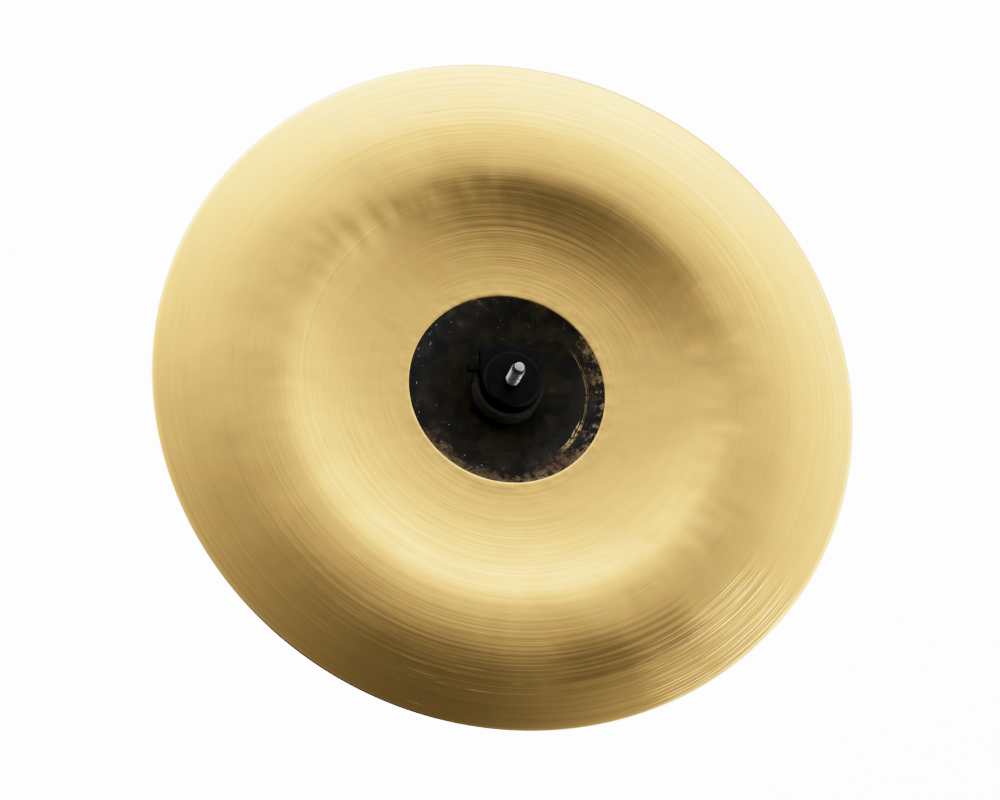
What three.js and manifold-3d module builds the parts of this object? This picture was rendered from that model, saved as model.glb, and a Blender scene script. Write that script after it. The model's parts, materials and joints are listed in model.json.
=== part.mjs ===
// A china cymbal hung upside down on the stud of a stepless tilter, under a quick-release nut.
// Millimetres. +Z runs up the stud, towards the face that is played.
// The origin is the middle of the mouth of the socket that takes the stand's tube.

import * as THREE from 'three';
import { mergeVertices } from 'three/addons/utils/BufferGeometryUtils.js';
import Module from 'manifold-3d';

const wasm = await Module();
wasm.setup();

// Clearances
const seatGap = 0.3;
const cutOverrun = 2;

// Cymbal
const cymbalRadius = 203.2;
const flangeMiddleRadius = 172;
const ridgeRadius = 140;
const dishSteepRadius = 121;
const bellRadius = 57;
const bellDepth = 13;
const cymbalHoleRadius = 6.25;
const bellThickness = 1.3;
const ridgeThickness = 1.1;
const rimThickness = 0.9;
const bellEdgeSlopeDegrees = 0.5;
const dishSteepSlopeDegrees = 13.2;
const flangeMiddleSlopeDegrees = -9.3;
const rimSlopeDegrees = -12.6;

// Tube socket and lower half of the tilter
const tubeBoreRadius = 6.45;
const tubeBoreDepth = 28;
const socketWall = 4;
const socketRoof = 4.5;
const socketChamfer = 0.8;
const cheekClearance = 1.5;
const cheekRadius = 14;
const cheekThickness = 7;
const cheekChamfer = 0.8;
const neckHalfWidth = 9;
const neckOverlap = 4;

// Friction disc and wing bolt
const frictionDiscThickness = 2;
const frictionDiscInset = 1;
const boltRadius = 4;
const boltWasherRadius = 8.5;
const boltWasherThickness = 1.6;
const wingHubRadius = 7;
const wingHubLength = 8;
const wingSpan = 19;
const wingThickness = 4.5;
const wingWidth = 9;
const boltTail = 2;

// Hex nuts on the bolt and on the stud
const hexAcrossFlats = 13;
const hexThickness = 6.5;
const hexPocketDepth = 3;

// Screw that pinches the tube
const socketScrewHeight = 14;
const socketScrewRadius = 3;
const screwBossRadius = 5.5;
const screwBossReach = 5;
const screwCollarRadius = 4.6;
const screwCollarThickness = 1.5;
const screwTipChamfer = 0.5;
const keyHeadWidth = 6;
const keyHeadLength = 6.5;

// Upper half of the tilter
const bossRadius = 9.5;
const bossHeight = 12;
const bossClearance = 2;
const studRootGap = 2;

// Stud
const studRadius = 4;
const studChamfer = 0.8;
const studTipRadius = 2.8;
const studTipLength = 3.2;
const studReach = 18.7;

// Seat washer, sleeve and felts
const seatWasherRadius = 19;
const seatWasherThickness = 2;
const seatWasherChamfer = 0.5;
const sleeveWall = 1;
const sleeveFlangeRadius = 12;
const sleeveFlangeThickness = 1.5;
const sleeveEndGap = 0.8;
const feltBoreClearance = 0.5;
const lowerFeltRadius = 20;
const lowerFeltThickness = 12;
const bellFeltRadius = 19.6;
const bellFeltThickness = 5.5;
const topFeltThickness = 11.4;
const feltEdgeRadius = 1.2;

// Quick-release nut
const nutHalfWidth = 17.6;
const nutFlatReach = 20.6;
const nutCornerRadius = 2.2;
const nutBaseThickness = 1;
const housingHeight = 4;
const housingRoof = 1;
const housingWall = 1.8;
const capInset = 0.4;
const capHeight = 3.5;
const capChamferWidth = 1.7;
const capChamferHeight = 1.2;
const capHoleClearance = 0.6;
const buttonTravel = 3;
const buttonOffset = 8.2;
const buttonArmWidth = 3.6;
const buttonHeadWidth = 4.8;
const buttonHeadHeight = 3.4;
const buttonHeadLength = 3.6;
const sliderLeft = 11.5;
const sliderRight = 9.5;
const sliderLow = 9;
const sliderHigh = 12;
const jawHalfWidth = 5.5;
const jawDepth = 8.2;
const jawLip = 1.5;
const springSlotDepth = 6;
const springSlotWidth = 2.8;
const springRadius = 0.9;
const springWireRadius = 0.2;

// Counts and the steps of curved outlines
const cymbalSegments = 56;
const feltSegments = 32;
const roundSegments = 32;
const boltSegments = 24;
const bellSteps = 6;
const bowSteps = 4;
const feltEdgeSteps = 3;
const feltFaceSteps = 2;
const springCurls = 9;
const springStepsPerCurl = 8;
const springSides = 5;
const arcSidesPerCurveSegment = 2;

// Levels up the stud, each worked out from the one below it
const outerSocketRadius = tubeBoreRadius + socketWall;
const socketLength = tubeBoreDepth + socketRoof;
const pivotHeight = socketLength + cheekClearance + cheekRadius;
const bossBottom = pivotHeight + cheekRadius + bossClearance;
const bossTop = bossBottom + bossHeight;
const lockNutBottom = bossTop + seatGap;
const seatWasherBottom = lockNutBottom + hexThickness + seatGap;
const sleeveBottom = seatWasherBottom + seatWasherThickness + seatGap;
const lowerFeltBottom = sleeveBottom + sleeveFlangeThickness + seatGap;
const bellBackLevel = lowerFeltBottom + lowerFeltThickness + seatGap;
const bellFloor = bellBackLevel + bellThickness;
const bellEdgeLevel = bellFloor + bellDepth;
const bellSphereRadius = (bellRadius ** 2 + bellDepth ** 2) / (2 * bellDepth);
const bellFeltBottom = bellFaceLevel(bellFeltRadius) + seatGap;
const topFeltBottom = bellFeltBottom + bellFeltThickness + seatGap;
const nutBottom = topFeltBottom + topFeltThickness + seatGap;
const housingBottom = nutBottom + nutBaseThickness + seatGap;
const capBottom = housingBottom + housingHeight + seatGap;
const nutTop = capBottom + capHeight;
const studTop = nutTop + studReach;

// Places across the tilter, along X
const cheekInner = frictionDiscThickness / 2 + seatGap;
const cheekOuter = cheekInner + cheekThickness;
const washerInner = cheekOuter + seatGap;
const wingHubInner = washerInner + boltWasherThickness + seatGap;
const pocketFloor = cheekOuter - hexPocketDepth;
const pivotNutInner = pocketFloor + seatGap;
const pivotNutOuter = pivotNutInner + hexThickness;
const boltHoleRadius = boltRadius + seatGap;
const studHoleRadius = studRadius + seatGap;
const sleeveRadius = studHoleRadius + sleeveWall;
const feltBoreRadius = sleeveRadius + feltBoreClearance;
const frictionDiscRadius = cheekRadius - frictionDiscInset;
const capRadius = nutHalfWidth - capInset;

const colours = {
  bronze: { color: 0xd4b068, roughness: 0.35, metalness: 1 },
  chrome: { color: 0xc8cacc, roughness: 0.15, metalness: 1 },
  steel: { color: 0xb4b4b0, roughness: 0.3, metalness: 1 },
  brass: { color: 0xb8964a, roughness: 0.35, metalness: 1 },
  blackPlastic: { color: 0x101010, roughness: 0.45, metalness: 0 },
  nylon: { color: 0x1c1c1c, roughness: 0.5, metalness: 0 },
  fibre: { color: 0x5a3a22, roughness: 0.8, metalness: 0 },
  greyFelt: { color: 0x34322c, roughness: 1, metalness: 0 },
  blackFelt: { color: 0x141413, roughness: 1, metalness: 0 },
};

// Position-only geometry with shared corners, no empty triangles, and its faces pointing out
function closedGeometry(geometry) {
  const bare = geometry.clone();
  bare.deleteAttribute('normal');
  bare.deleteAttribute('uv');
  const merged = mergeVertices(bare);
  const corners = Array.from(merged.index.array);
  const kept = [];
  for (let i = 0; i < corners.length; i += 3) {
    const [a, b, c] = corners.slice(i, i + 3);
    if (a !== b && b !== c && c !== a) kept.push(a, b, c);
  }
  merged.setIndex(kept);
  if (signedVolume(merged) < 0) merged.setIndex(kept.reverse());
  return merged;
}

function signedVolume(geometry) {
  const place = geometry.attributes.position;
  const index = geometry.index.array;
  const a = new THREE.Vector3();
  const b = new THREE.Vector3();
  const c = new THREE.Vector3();
  let sum = 0;
  for (let i = 0; i < index.length; i += 3) {
    a.fromBufferAttribute(place, index[i]);
    b.fromBufferAttribute(place, index[i + 1]);
    c.fromBufferAttribute(place, index[i + 2]);
    sum += a.dot(b.cross(c));
  }
  return sum;
}

function solidOf(geometry) {
  const closed = closedGeometry(geometry);
  const mesh = new wasm.Mesh({
    numProp: 3,
    vertProperties: new Float32Array(closed.attributes.position.array),
    triVerts: new Uint32Array(closed.index.array),
  });
  return new wasm.Manifold(mesh);
}

function geometryOf(solid) {
  const mesh = solid.getMesh();
  const geometry = new THREE.BufferGeometry();
  geometry.setAttribute('position', new THREE.BufferAttribute(mesh.vertProperties, 3));
  geometry.setIndex(new THREE.BufferAttribute(mesh.triVerts, 1));
  return geometry;
}

// The first geometry with the others joined to it, less the cuts
function shaped(joined, cuts) {
  const whole = joined.map(solidOf).reduce((sum, solid) => sum.add(solid));
  return geometryOf(cuts.map(solidOf).reduce((rest, solid) => rest.subtract(solid), whole));
}

// A turned solid about Z from [radius, level] points
function turned(points, segments) {
  const outline = points.map(([radius, level]) => new THREE.Vector2(radius, level));
  return new THREE.LatheGeometry(outline, segments).rotateX(Math.PI / 2);
}

// A disc or rod from one level to another, with both edges chamfered
function chamferedRod(radius, bottom, top, chamfer, segments) {
  return turned([
    [0, bottom],
    [radius - chamfer, bottom],
    [radius, bottom + chamfer],
    [radius, top - chamfer],
    [radius - chamfer, top],
    [0, top],
  ], segments);
}

function plainRod(radius, bottom, top, segments) {
  return turned([[0, bottom], [radius, bottom], [radius, top], [0, top]], segments);
}

// A flat ring whose outline closes on itself, with its outer edges chamfered
function chamferedRing(inner, outer, bottom, top, chamfer, segments) {
  return turned([
    [inner, bottom],
    [outer - chamfer, bottom],
    [outer, bottom + chamfer],
    [outer, top - chamfer],
    [outer - chamfer, top],
    [inner, top],
    [inner, bottom],
  ], segments);
}

// A block between two corners
function block([x0, y0, z0], [x1, y1, z1]) {
  const box = new THREE.BoxGeometry(x1 - x0, y1 - y0, z1 - z0);
  return box.translate((x0 + x1) / 2, (y0 + y1) / 2, (z0 + z1) / 2);
}

// Turns a solid made about Z so that its levels run along +X, or along -Y, at a height
const alongX = (geometry, height) => geometry.rotateY(Math.PI / 2).translate(0, 0, height);
const alongMinusY = (geometry, height) => geometry.rotateX(Math.PI / 2).translate(0, 0, height);

function extruded(shape, bottom, top, curveSegments) {
  const options = { depth: top - bottom, bevelEnabled: false, curveSegments };
  return new THREE.ExtrudeGeometry(shape, options).translate(0, 0, bottom);
}

// A hexagon with the nuts' width across flats, let out all round by a gap
function hexOutline(gap) {
  const cornerRadius = (hexAcrossFlats / 2 + gap) / Math.cos(Math.PI / 6);
  const shape = new THREE.Shape();
  for (let i = 0; i < 6; i += 1) {
    const angle = (i * Math.PI) / 3;
    const place = [cornerRadius * Math.cos(angle), cornerRadius * Math.sin(angle)];
    if (i === 0) shape.moveTo(...place);
    else shape.lineTo(...place);
  }
  shape.closePath();
  return shape;
}

function hexNut(bottom) {
  const shape = hexOutline(0);
  shape.holes.push(new THREE.Path().absarc(0, 0, boltHoleRadius, 0, 2 * Math.PI, true));
  return extruded(shape, bottom, bottom + hexThickness, boltSegments / 2);
}

// Height of the bell's hollow face at a radius
function bellFaceLevel(radius) {
  return bellFloor + bellSphereRadius - Math.sqrt(bellSphereRadius ** 2 - radius ** 2);
}

// Height of the bell's rounded back at a radius
function bellBackFace(radius) {
  const backRadius = bellSphereRadius + bellThickness;
  return bellBackLevel + backRadius - Math.sqrt(backRadius ** 2 - radius ** 2);
}

// The face from the hole to the rim: a hollow bell, then a bow whose slope runs from knot to knot
function cymbalFace() {
  const face = [];
  for (let i = 0; i <= bellSteps; i += 1) {
    const radius = cymbalHoleRadius + ((bellRadius - cymbalHoleRadius) * i) / bellSteps;
    face.push([radius, bellFaceLevel(radius)]);
  }
  const knots = [
    [bellRadius, bellEdgeSlopeDegrees],
    [dishSteepRadius, dishSteepSlopeDegrees],
    [ridgeRadius, 0],
    [flangeMiddleRadius, flangeMiddleSlopeDegrees],
    [cymbalRadius, rimSlopeDegrees],
  ];
  let level = bellEdgeLevel;
  for (let k = 1; k < knots.length; k += 1) {
    const [startRadius, startSlope] = knots[k - 1];
    const [endRadius, endSlope] = knots[k];
    const stepLength = (endRadius - startRadius) / bowSteps;
    for (let i = 1; i <= bowSteps; i += 1) {
      const slope = THREE.MathUtils.lerp(startSlope, endSlope, (i - 0.5) / bowSteps);
      level += stepLength * Math.tan(THREE.MathUtils.degToRad(slope));
      face.push([startRadius + stepLength * i, level]);
    }
  }
  return face;
}

function wallThickness(radius) {
  if (radius <= bellRadius) return bellThickness;
  if (radius <= ridgeRadius) {
    const share = (radius - bellRadius) / (ridgeRadius - bellRadius);
    return THREE.MathUtils.lerp(bellThickness, ridgeThickness, share);
  }
  const share = (radius - ridgeRadius) / (cymbalRadius - ridgeRadius);
  return THREE.MathUtils.lerp(ridgeThickness, rimThickness, share);
}

// The same metal sheet seen from behind: each point of the face moved back square to it
function cymbalBack(face) {
  const last = face.length - 1;
  return face.map(([radius, level], i) => {
    const [r0, z0] = face[Math.max(i - 1, 0)];
    const [r1, z1] = face[Math.min(i + 1, last)];
    const length = Math.hypot(r1 - r0, z1 - z0);
    const thickness = wallThickness(radius);
    if (i === 0 || i === last) return [radius, level - thickness];
    return [radius + (thickness * (z1 - z0)) / length, level - (thickness * (r1 - r0)) / length];
  });
}

function cymbalGeometry() {
  const face = cymbalFace();
  return turned([...face, ...cymbalBack(face).reverse(), face[0]], cymbalSegments);
}

// A felt ring with rounded outer edges whose two faces follow the given heights
function feltGeometry(radius, lowFace, highFace) {
  const edge = feltEdgeRadius;
  const flatRadius = radius - edge;
  const across = (i) => feltBoreRadius + ((flatRadius - feltBoreRadius) * i) / feltFaceSteps;
  const points = [];
  for (let i = 0; i <= feltFaceSteps; i += 1) points.push([across(i), lowFace(across(i))]);
  for (let i = 1; i <= feltEdgeSteps; i += 1) {
    const angle = ((Math.PI / 2) * i) / feltEdgeSteps;
    const rise = edge * (1 - Math.cos(angle));
    points.push([flatRadius + edge * Math.sin(angle), lowFace(flatRadius) + rise]);
  }
  for (let i = feltEdgeSteps; i >= 1; i -= 1) {
    const angle = ((Math.PI / 2) * i) / feltEdgeSteps;
    const drop = edge * (1 - Math.cos(angle));
    points.push([flatRadius + edge * Math.sin(angle), highFace(flatRadius) - drop]);
  }
  for (let i = feltFaceSteps; i >= 0; i -= 1) points.push([across(i), highFace(across(i))]);
  points.push(points[0]);
  return turned(points, feltSegments);
}

function sleeveGeometry() {
  const sleeveTop = nutBottom - sleeveEndGap;
  return turned([
    [studHoleRadius, sleeveBottom],
    [sleeveFlangeRadius, sleeveBottom],
    [sleeveFlangeRadius, sleeveBottom + sleeveFlangeThickness],
    [sleeveRadius, sleeveBottom + sleeveFlangeThickness],
    [sleeveRadius, sleeveTop],
    [studHoleRadius, sleeveTop],
    [studHoleRadius, sleeveBottom],
  ], roundSegments);
}

function studGeometry() {
  const shoulder = studTop - studTipLength;
  const shoulderWidth = studRadius - studTipRadius;
  return turned([
    [0, bossBottom + studRootGap],
    [studRadius - studChamfer, bossBottom + studRootGap],
    [studRadius, bossBottom + studRootGap + studChamfer],
    [studRadius, shoulder - shoulderWidth / 2],
    [studTipRadius, shoulder],
    [studTipRadius, studTop - studChamfer],
    [studTipRadius - studChamfer, studTop],
    [0, studTop],
  ], roundSegments);
}

// One cheek of the tilter as a disc square to X, between two places along X
function cheek(from, to) {
  return alongX(chamferedRod(cheekRadius, from, to, cheekChamfer, roundSegments), pivotHeight);
}

function boltHole() {
  const reach = cheekOuter + cutOverrun;
  return alongX(plainRod(boltHoleRadius, -reach, reach, boltSegments), pivotHeight);
}

function tilterBaseGeometry() {
  const socket = chamferedRod(outerSocketRadius, 0, socketLength, socketChamfer, roundSegments);
  const neck = block(
    [-cheekOuter, -neckHalfWidth, socketLength - neckOverlap],
    [-cheekInner, neckHalfWidth, pivotHeight],
  );
  const bossEnd = outerSocketRadius + screwBossReach;
  const screwBoss = alongMinusY(
    chamferedRod(screwBossRadius, tubeBoreRadius + socketWall / 2, bossEnd, socketChamfer, boltSegments),
    socketScrewHeight,
  );
  const bore = turned([
    [0, -cutOverrun],
    [tubeBoreRadius, -cutOverrun],
    [tubeBoreRadius, tubeBoreDepth],
    [0, tubeBoreDepth],
  ], roundSegments);
  const screwHole = alongMinusY(
    plainRod(socketScrewRadius + seatGap, 0, bossEnd + cutOverrun, boltSegments),
    socketScrewHeight,
  );
  const pocket = alongX(
    extruded(hexOutline(seatGap), -cheekOuter - cutOverrun, -pocketFloor, 1),
    pivotHeight,
  );
  return shaped([socket, neck, cheek(-cheekOuter, -cheekInner), screwBoss],
    [bore, screwHole, boltHole(), pocket]);
}

function tilterHeadGeometry() {
  const neck = block(
    [cheekInner, -neckHalfWidth, pivotHeight],
    [cheekOuter, neckHalfWidth, bossBottom + neckOverlap],
  );
  const boss = chamferedRod(bossRadius, bossBottom, bossTop, cheekChamfer, roundSegments);
  const studHole = plainRod(
    studHoleRadius, bossBottom - cutOverrun, bossTop + cutOverrun, roundSegments);
  return shaped([cheek(cheekInner, cheekOuter), neck, boss], [boltHole(), studHole]);
}

function wingBoltGeometry() {
  const hubOuter = wingHubInner + wingHubLength;
  const tailEnd = -pivotNutOuter - boltTail;
  const shaft = plainRod(boltRadius, tailEnd, hubOuter - wingThickness / 2, boltSegments);
  const hub = chamferedRod(wingHubRadius, wingHubInner, hubOuter, cheekChamfer, boltSegments);
  const outline = new THREE.Shape();
  const straight = wingSpan - wingWidth / 2;
  outline.absarc(0, straight, wingWidth / 2, 0, Math.PI, false);
  outline.absarc(0, -straight, wingWidth / 2, Math.PI, 2 * Math.PI, false);
  outline.closePath();
  const wings = extruded(outline, hubOuter - wingThickness, hubOuter, boltSegments / 4);
  return alongX(shaped([hub, shaft, wings], []), pivotHeight);
}

function socketScrewGeometry() {
  const tip = tubeBoreRadius + seatGap;
  const collarBottom = outerSocketRadius + screwBossReach + seatGap;
  const headBottom = collarBottom + screwCollarThickness;
  const half = keyHeadWidth / 2;
  const shaft = chamferedRod(socketScrewRadius, tip, headBottom, screwTipChamfer, boltSegments);
  const collar = plainRod(screwCollarRadius, collarBottom, headBottom, boltSegments);
  const key = block([-half, -half, collarBottom], [half, half, headBottom + keyHeadLength]);
  return alongMinusY(shaped([shaft, collar, key], []), socketScrewHeight);
}

// The nut's outline: round towards -Y, square towards +Y, drawn in by an inset
function nutOutline(inset) {
  const halfWidth = nutHalfWidth - inset;
  const flat = nutFlatReach - inset;
  const corner = nutCornerRadius;
  const shape = new THREE.Shape();
  shape.absarc(0, 0, halfWidth, Math.PI, 2 * Math.PI, false);
  shape.absarc(halfWidth - corner, flat - corner, corner, 0, Math.PI / 2, false);
  shape.absarc(corner - halfWidth, flat - corner, corner, Math.PI / 2, Math.PI, false);
  shape.closePath();
  return shape;
}

function nutPlate(inset, bottom, top) {
  return extruded(nutOutline(inset), bottom, top, boltSegments / 2);
}

function studWay(bottom, top) {
  const radius = studRadius + capHoleClearance;
  return plainRod(radius, bottom - cutOverrun, top + cutOverrun, roundSegments);
}

function nutHousingGeometry() {
  const top = housingBottom + housingHeight;
  const pocketTop = top - housingRoof;
  const armHalf = buttonArmWidth / 2 + seatGap;
  const armSlot = block(
    [-nutHalfWidth - cutOverrun, buttonOffset - armHalf, housingBottom - cutOverrun],
    [-sliderLeft, buttonOffset + armHalf, pocketTop],
  );
  return shaped([nutPlate(0, housingBottom, top)],
    [nutPlate(housingWall, housingBottom - cutOverrun, pocketTop), studWay(housingBottom, top), armSlot]);
}

// The slider that the button pushes, with a window for the stud and a slot for the spring
function releaseButtonGeometry() {
  const bottom = housingBottom;
  const top = housingBottom + housingHeight - housingRoof - seatGap;
  const middle = (bottom + top) / 2;
  const headInner = -nutHalfWidth - buttonTravel - seatGap;
  const armHalf = buttonArmWidth / 2;
  const headHalf = buttonHeadWidth / 2;
  const plate = block([-sliderLeft, -sliderLow, bottom], [sliderRight, sliderHigh, top]);
  const arm = block(
    [headInner - buttonHeadLength / 2, buttonOffset - armHalf, bottom],
    [-sliderLeft + armHalf, buttonOffset + armHalf, top],
  );
  const head = block(
    [headInner - buttonHeadLength, buttonOffset - headHalf, middle - buttonHeadHeight / 2],
    [headInner, buttonOffset + headHalf, middle + buttonHeadHeight / 2],
  );
  const windowHalf = jawHalfWidth + seatGap;
  const windowCut = block(
    [-studHoleRadius - buttonTravel, -windowHalf, bottom - cutOverrun],
    [jawDepth + seatGap, windowHalf, top + cutOverrun],
  );
  const springHalf = springSlotWidth / 2;
  const springSlot = block(
    [sliderRight - springSlotDepth, buttonOffset - springHalf, bottom - cutOverrun],
    [sliderRight + cutOverrun, buttonOffset + springHalf, top + cutOverrun],
  );
  return shaped([plate, arm, head], [windowCut, springSlot]);
}

// The half-round jaw that grips the stud's thread from the spring's side
function threadJawGeometry() {
  const bottom = housingBottom + seatGap;
  const top = housingBottom + housingHeight - housingRoof - seatGap;
  const body = block([jawLip, -jawHalfWidth, bottom], [jawDepth, jawHalfWidth, top]);
  const grip = plainRod(studHoleRadius, bottom - cutOverrun, top + cutOverrun, roundSegments);
  return shaped([body], [grip]);
}

// The coil that pushes the slider back, along X from the slot's end to the housing's wall
function releaseSpringGeometry() {
  const start = sliderRight - springSlotDepth + springWireRadius + seatGap;
  const end = nutHalfWidth - housingWall - springWireRadius - seatGap;
  const thickness = housingHeight - housingRoof - seatGap;
  const middle = housingBottom + thickness / 2;
  class Helix extends THREE.Curve {
    getPoint(share, target = new THREE.Vector3()) {
      const angle = 2 * Math.PI * springCurls * share;
      return target.set(
        THREE.MathUtils.lerp(start, end, share),
        buttonOffset + springRadius * Math.cos(angle),
        middle + springRadius * Math.sin(angle),
      );
    }
  }
  const section = new THREE.Shape();
  section.absarc(0, 0, springWireRadius, 0, 2 * Math.PI, false);
  return new THREE.ExtrudeGeometry(section, {
    steps: springCurls * springStepsPerCurl,
    curveSegments: springSides / arcSidesPerCurveSegment,
    bevelEnabled: false,
    extrudePath: new Helix(),
  });
}

const group = new THREE.Group();

function add(name, geometry, colour) {
  const mesh = new THREE.Mesh(closedGeometry(geometry), new THREE.MeshStandardMaterial(colour));
  mesh.name = name;
  group.add(mesh);
}

const washerOuter = washerInner + boltWasherThickness;
const seatWasherTop = seatWasherBottom + seatWasherThickness;
const bellFeltTop = bellFeltBottom + bellFeltThickness;

add('tilter_base', tilterBaseGeometry(), colours.chrome);
add('socket_screw', socketScrewGeometry(), colours.steel);
add('friction_disc', alongX(chamferedRing(
  boltHoleRadius, frictionDiscRadius, -frictionDiscThickness / 2, frictionDiscThickness / 2,
  seatGap, roundSegments), pivotHeight), colours.fibre);
add('wing_bolt', wingBoltGeometry(), colours.chrome);
add('bolt_washer', alongX(chamferedRing(
  boltHoleRadius, boltWasherRadius, washerInner, washerOuter, seatGap, roundSegments,
), pivotHeight), colours.steel);
add('pivot_nut', alongX(hexNut(-pivotNutOuter), pivotHeight), colours.steel);
add('tilter_head', tilterHeadGeometry(), colours.chrome);
add('stud', studGeometry(), colours.steel);
add('stud_lock_nut', hexNut(lockNutBottom), colours.steel);
add('seat_washer', chamferedRing(
  studHoleRadius, seatWasherRadius, seatWasherBottom, seatWasherTop, seatWasherChamfer, roundSegments,
), colours.steel);
add('cymbal_sleeve', sleeveGeometry(), colours.nylon);
add('lower_felt', feltGeometry(
  lowerFeltRadius, () => lowerFeltBottom, (radius) => bellBackFace(radius) - seatGap,
), colours.greyFelt);
add('cymbal', cymbalGeometry(), colours.bronze);
add('bell_felt', feltGeometry(
  bellFeltRadius, (radius) => bellFaceLevel(radius) + seatGap, () => bellFeltTop,
), colours.blackFelt);
add('top_felt', feltGeometry(
  bellFeltRadius, () => topFeltBottom, () => topFeltBottom + topFeltThickness,
), colours.greyFelt);
add('nut_base', shaped(
  [nutPlate(0, nutBottom, nutBottom + nutBaseThickness)],
  [studWay(nutBottom, nutBottom + nutBaseThickness)],
), colours.blackPlastic);
add('nut_housing', nutHousingGeometry(), colours.blackPlastic);
add('release_button', releaseButtonGeometry(), colours.blackPlastic);
add('thread_jaw', threadJawGeometry(), colours.brass);
add('release_spring', releaseSpringGeometry(), colours.steel);
add('nut_cap', turned([
  [studRadius + capHoleClearance, capBottom],
  [capRadius, capBottom],
  [capRadius, nutTop - capChamferHeight],
  [capRadius - capChamferWidth, nutTop],
  [studRadius + capHoleClearance, nutTop],
  [studRadius + capHoleClearance, capBottom],
], roundSegments), colours.blackPlastic);

export default group;
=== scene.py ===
"""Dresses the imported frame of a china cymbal, its felts, nut and tilter as a Blender scene."""

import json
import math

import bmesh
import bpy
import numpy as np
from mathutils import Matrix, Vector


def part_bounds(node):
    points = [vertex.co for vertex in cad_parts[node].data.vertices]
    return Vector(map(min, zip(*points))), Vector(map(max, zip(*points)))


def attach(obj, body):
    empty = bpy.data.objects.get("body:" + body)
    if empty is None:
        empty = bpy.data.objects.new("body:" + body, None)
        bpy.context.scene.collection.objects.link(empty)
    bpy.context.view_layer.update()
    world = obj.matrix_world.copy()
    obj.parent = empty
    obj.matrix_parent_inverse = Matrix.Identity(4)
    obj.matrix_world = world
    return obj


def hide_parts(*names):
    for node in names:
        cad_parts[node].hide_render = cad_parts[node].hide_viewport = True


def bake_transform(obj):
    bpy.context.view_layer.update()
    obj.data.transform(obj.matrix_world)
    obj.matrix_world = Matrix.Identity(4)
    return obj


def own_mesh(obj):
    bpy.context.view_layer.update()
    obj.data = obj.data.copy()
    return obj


bl_info = {
    "name": "China cymbal on a tilter",
    "version": (1, 0, 0),
    "blender": (4, 5, 0),
    "location": "View3D > Sidebar > Cymbal",
    "description": "Builds a hammered china cymbal with its felts, nut and tilter around a packed frame",
    "category": "Object",
}

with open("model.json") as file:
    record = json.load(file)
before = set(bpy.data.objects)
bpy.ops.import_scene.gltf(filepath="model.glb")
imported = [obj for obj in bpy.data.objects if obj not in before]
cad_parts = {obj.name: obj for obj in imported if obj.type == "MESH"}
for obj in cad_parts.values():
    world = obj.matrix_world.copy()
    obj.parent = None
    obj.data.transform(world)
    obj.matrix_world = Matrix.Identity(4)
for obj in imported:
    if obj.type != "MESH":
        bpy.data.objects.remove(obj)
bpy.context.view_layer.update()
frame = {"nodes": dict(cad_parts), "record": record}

MM = 0.001
FULL_TURN = 2 * math.pi
SIDES = 72
MERGE_DISTANCE = 2e-7
SHARP_ANGLE = math.radians(34)

# How far a cutting shape runs past the solid, and the grain at which a casting is shaped anew.
BEYOND = 5 * MM
CAST_VOXEL = 0.32 * MM


class Wire:
    """A node's output, which can stand in a Python sum."""

    def __init__(self, net, socket):
        self.net = net
        self.socket = socket

    def math(self, operation, *others):
        return self.net.math(operation, self, *others)

    def __add__(self, other):
        return self.math("ADD", other)

    def __radd__(self, other):
        return self.net.math("ADD", other, self)

    def __sub__(self, other):
        return self.math("SUBTRACT", other)

    def __rsub__(self, other):
        return self.net.math("SUBTRACT", other, self)

    def __mul__(self, other):
        return self.math("MULTIPLY", other)

    def __rmul__(self, other):
        return self.net.math("MULTIPLY", other, self)

    def __truediv__(self, other):
        return self.math("DIVIDE", other)

    def __rtruediv__(self, other):
        return self.net.math("DIVIDE", other, self)

    def __pow__(self, other):
        return self.math("POWER", other)

    def __abs__(self):
        return self.math("ABSOLUTE")

    def __getitem__(self, name):
        """Another output of the same node."""
        return Wire(self.net, self.socket.node.outputs[name])


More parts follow.
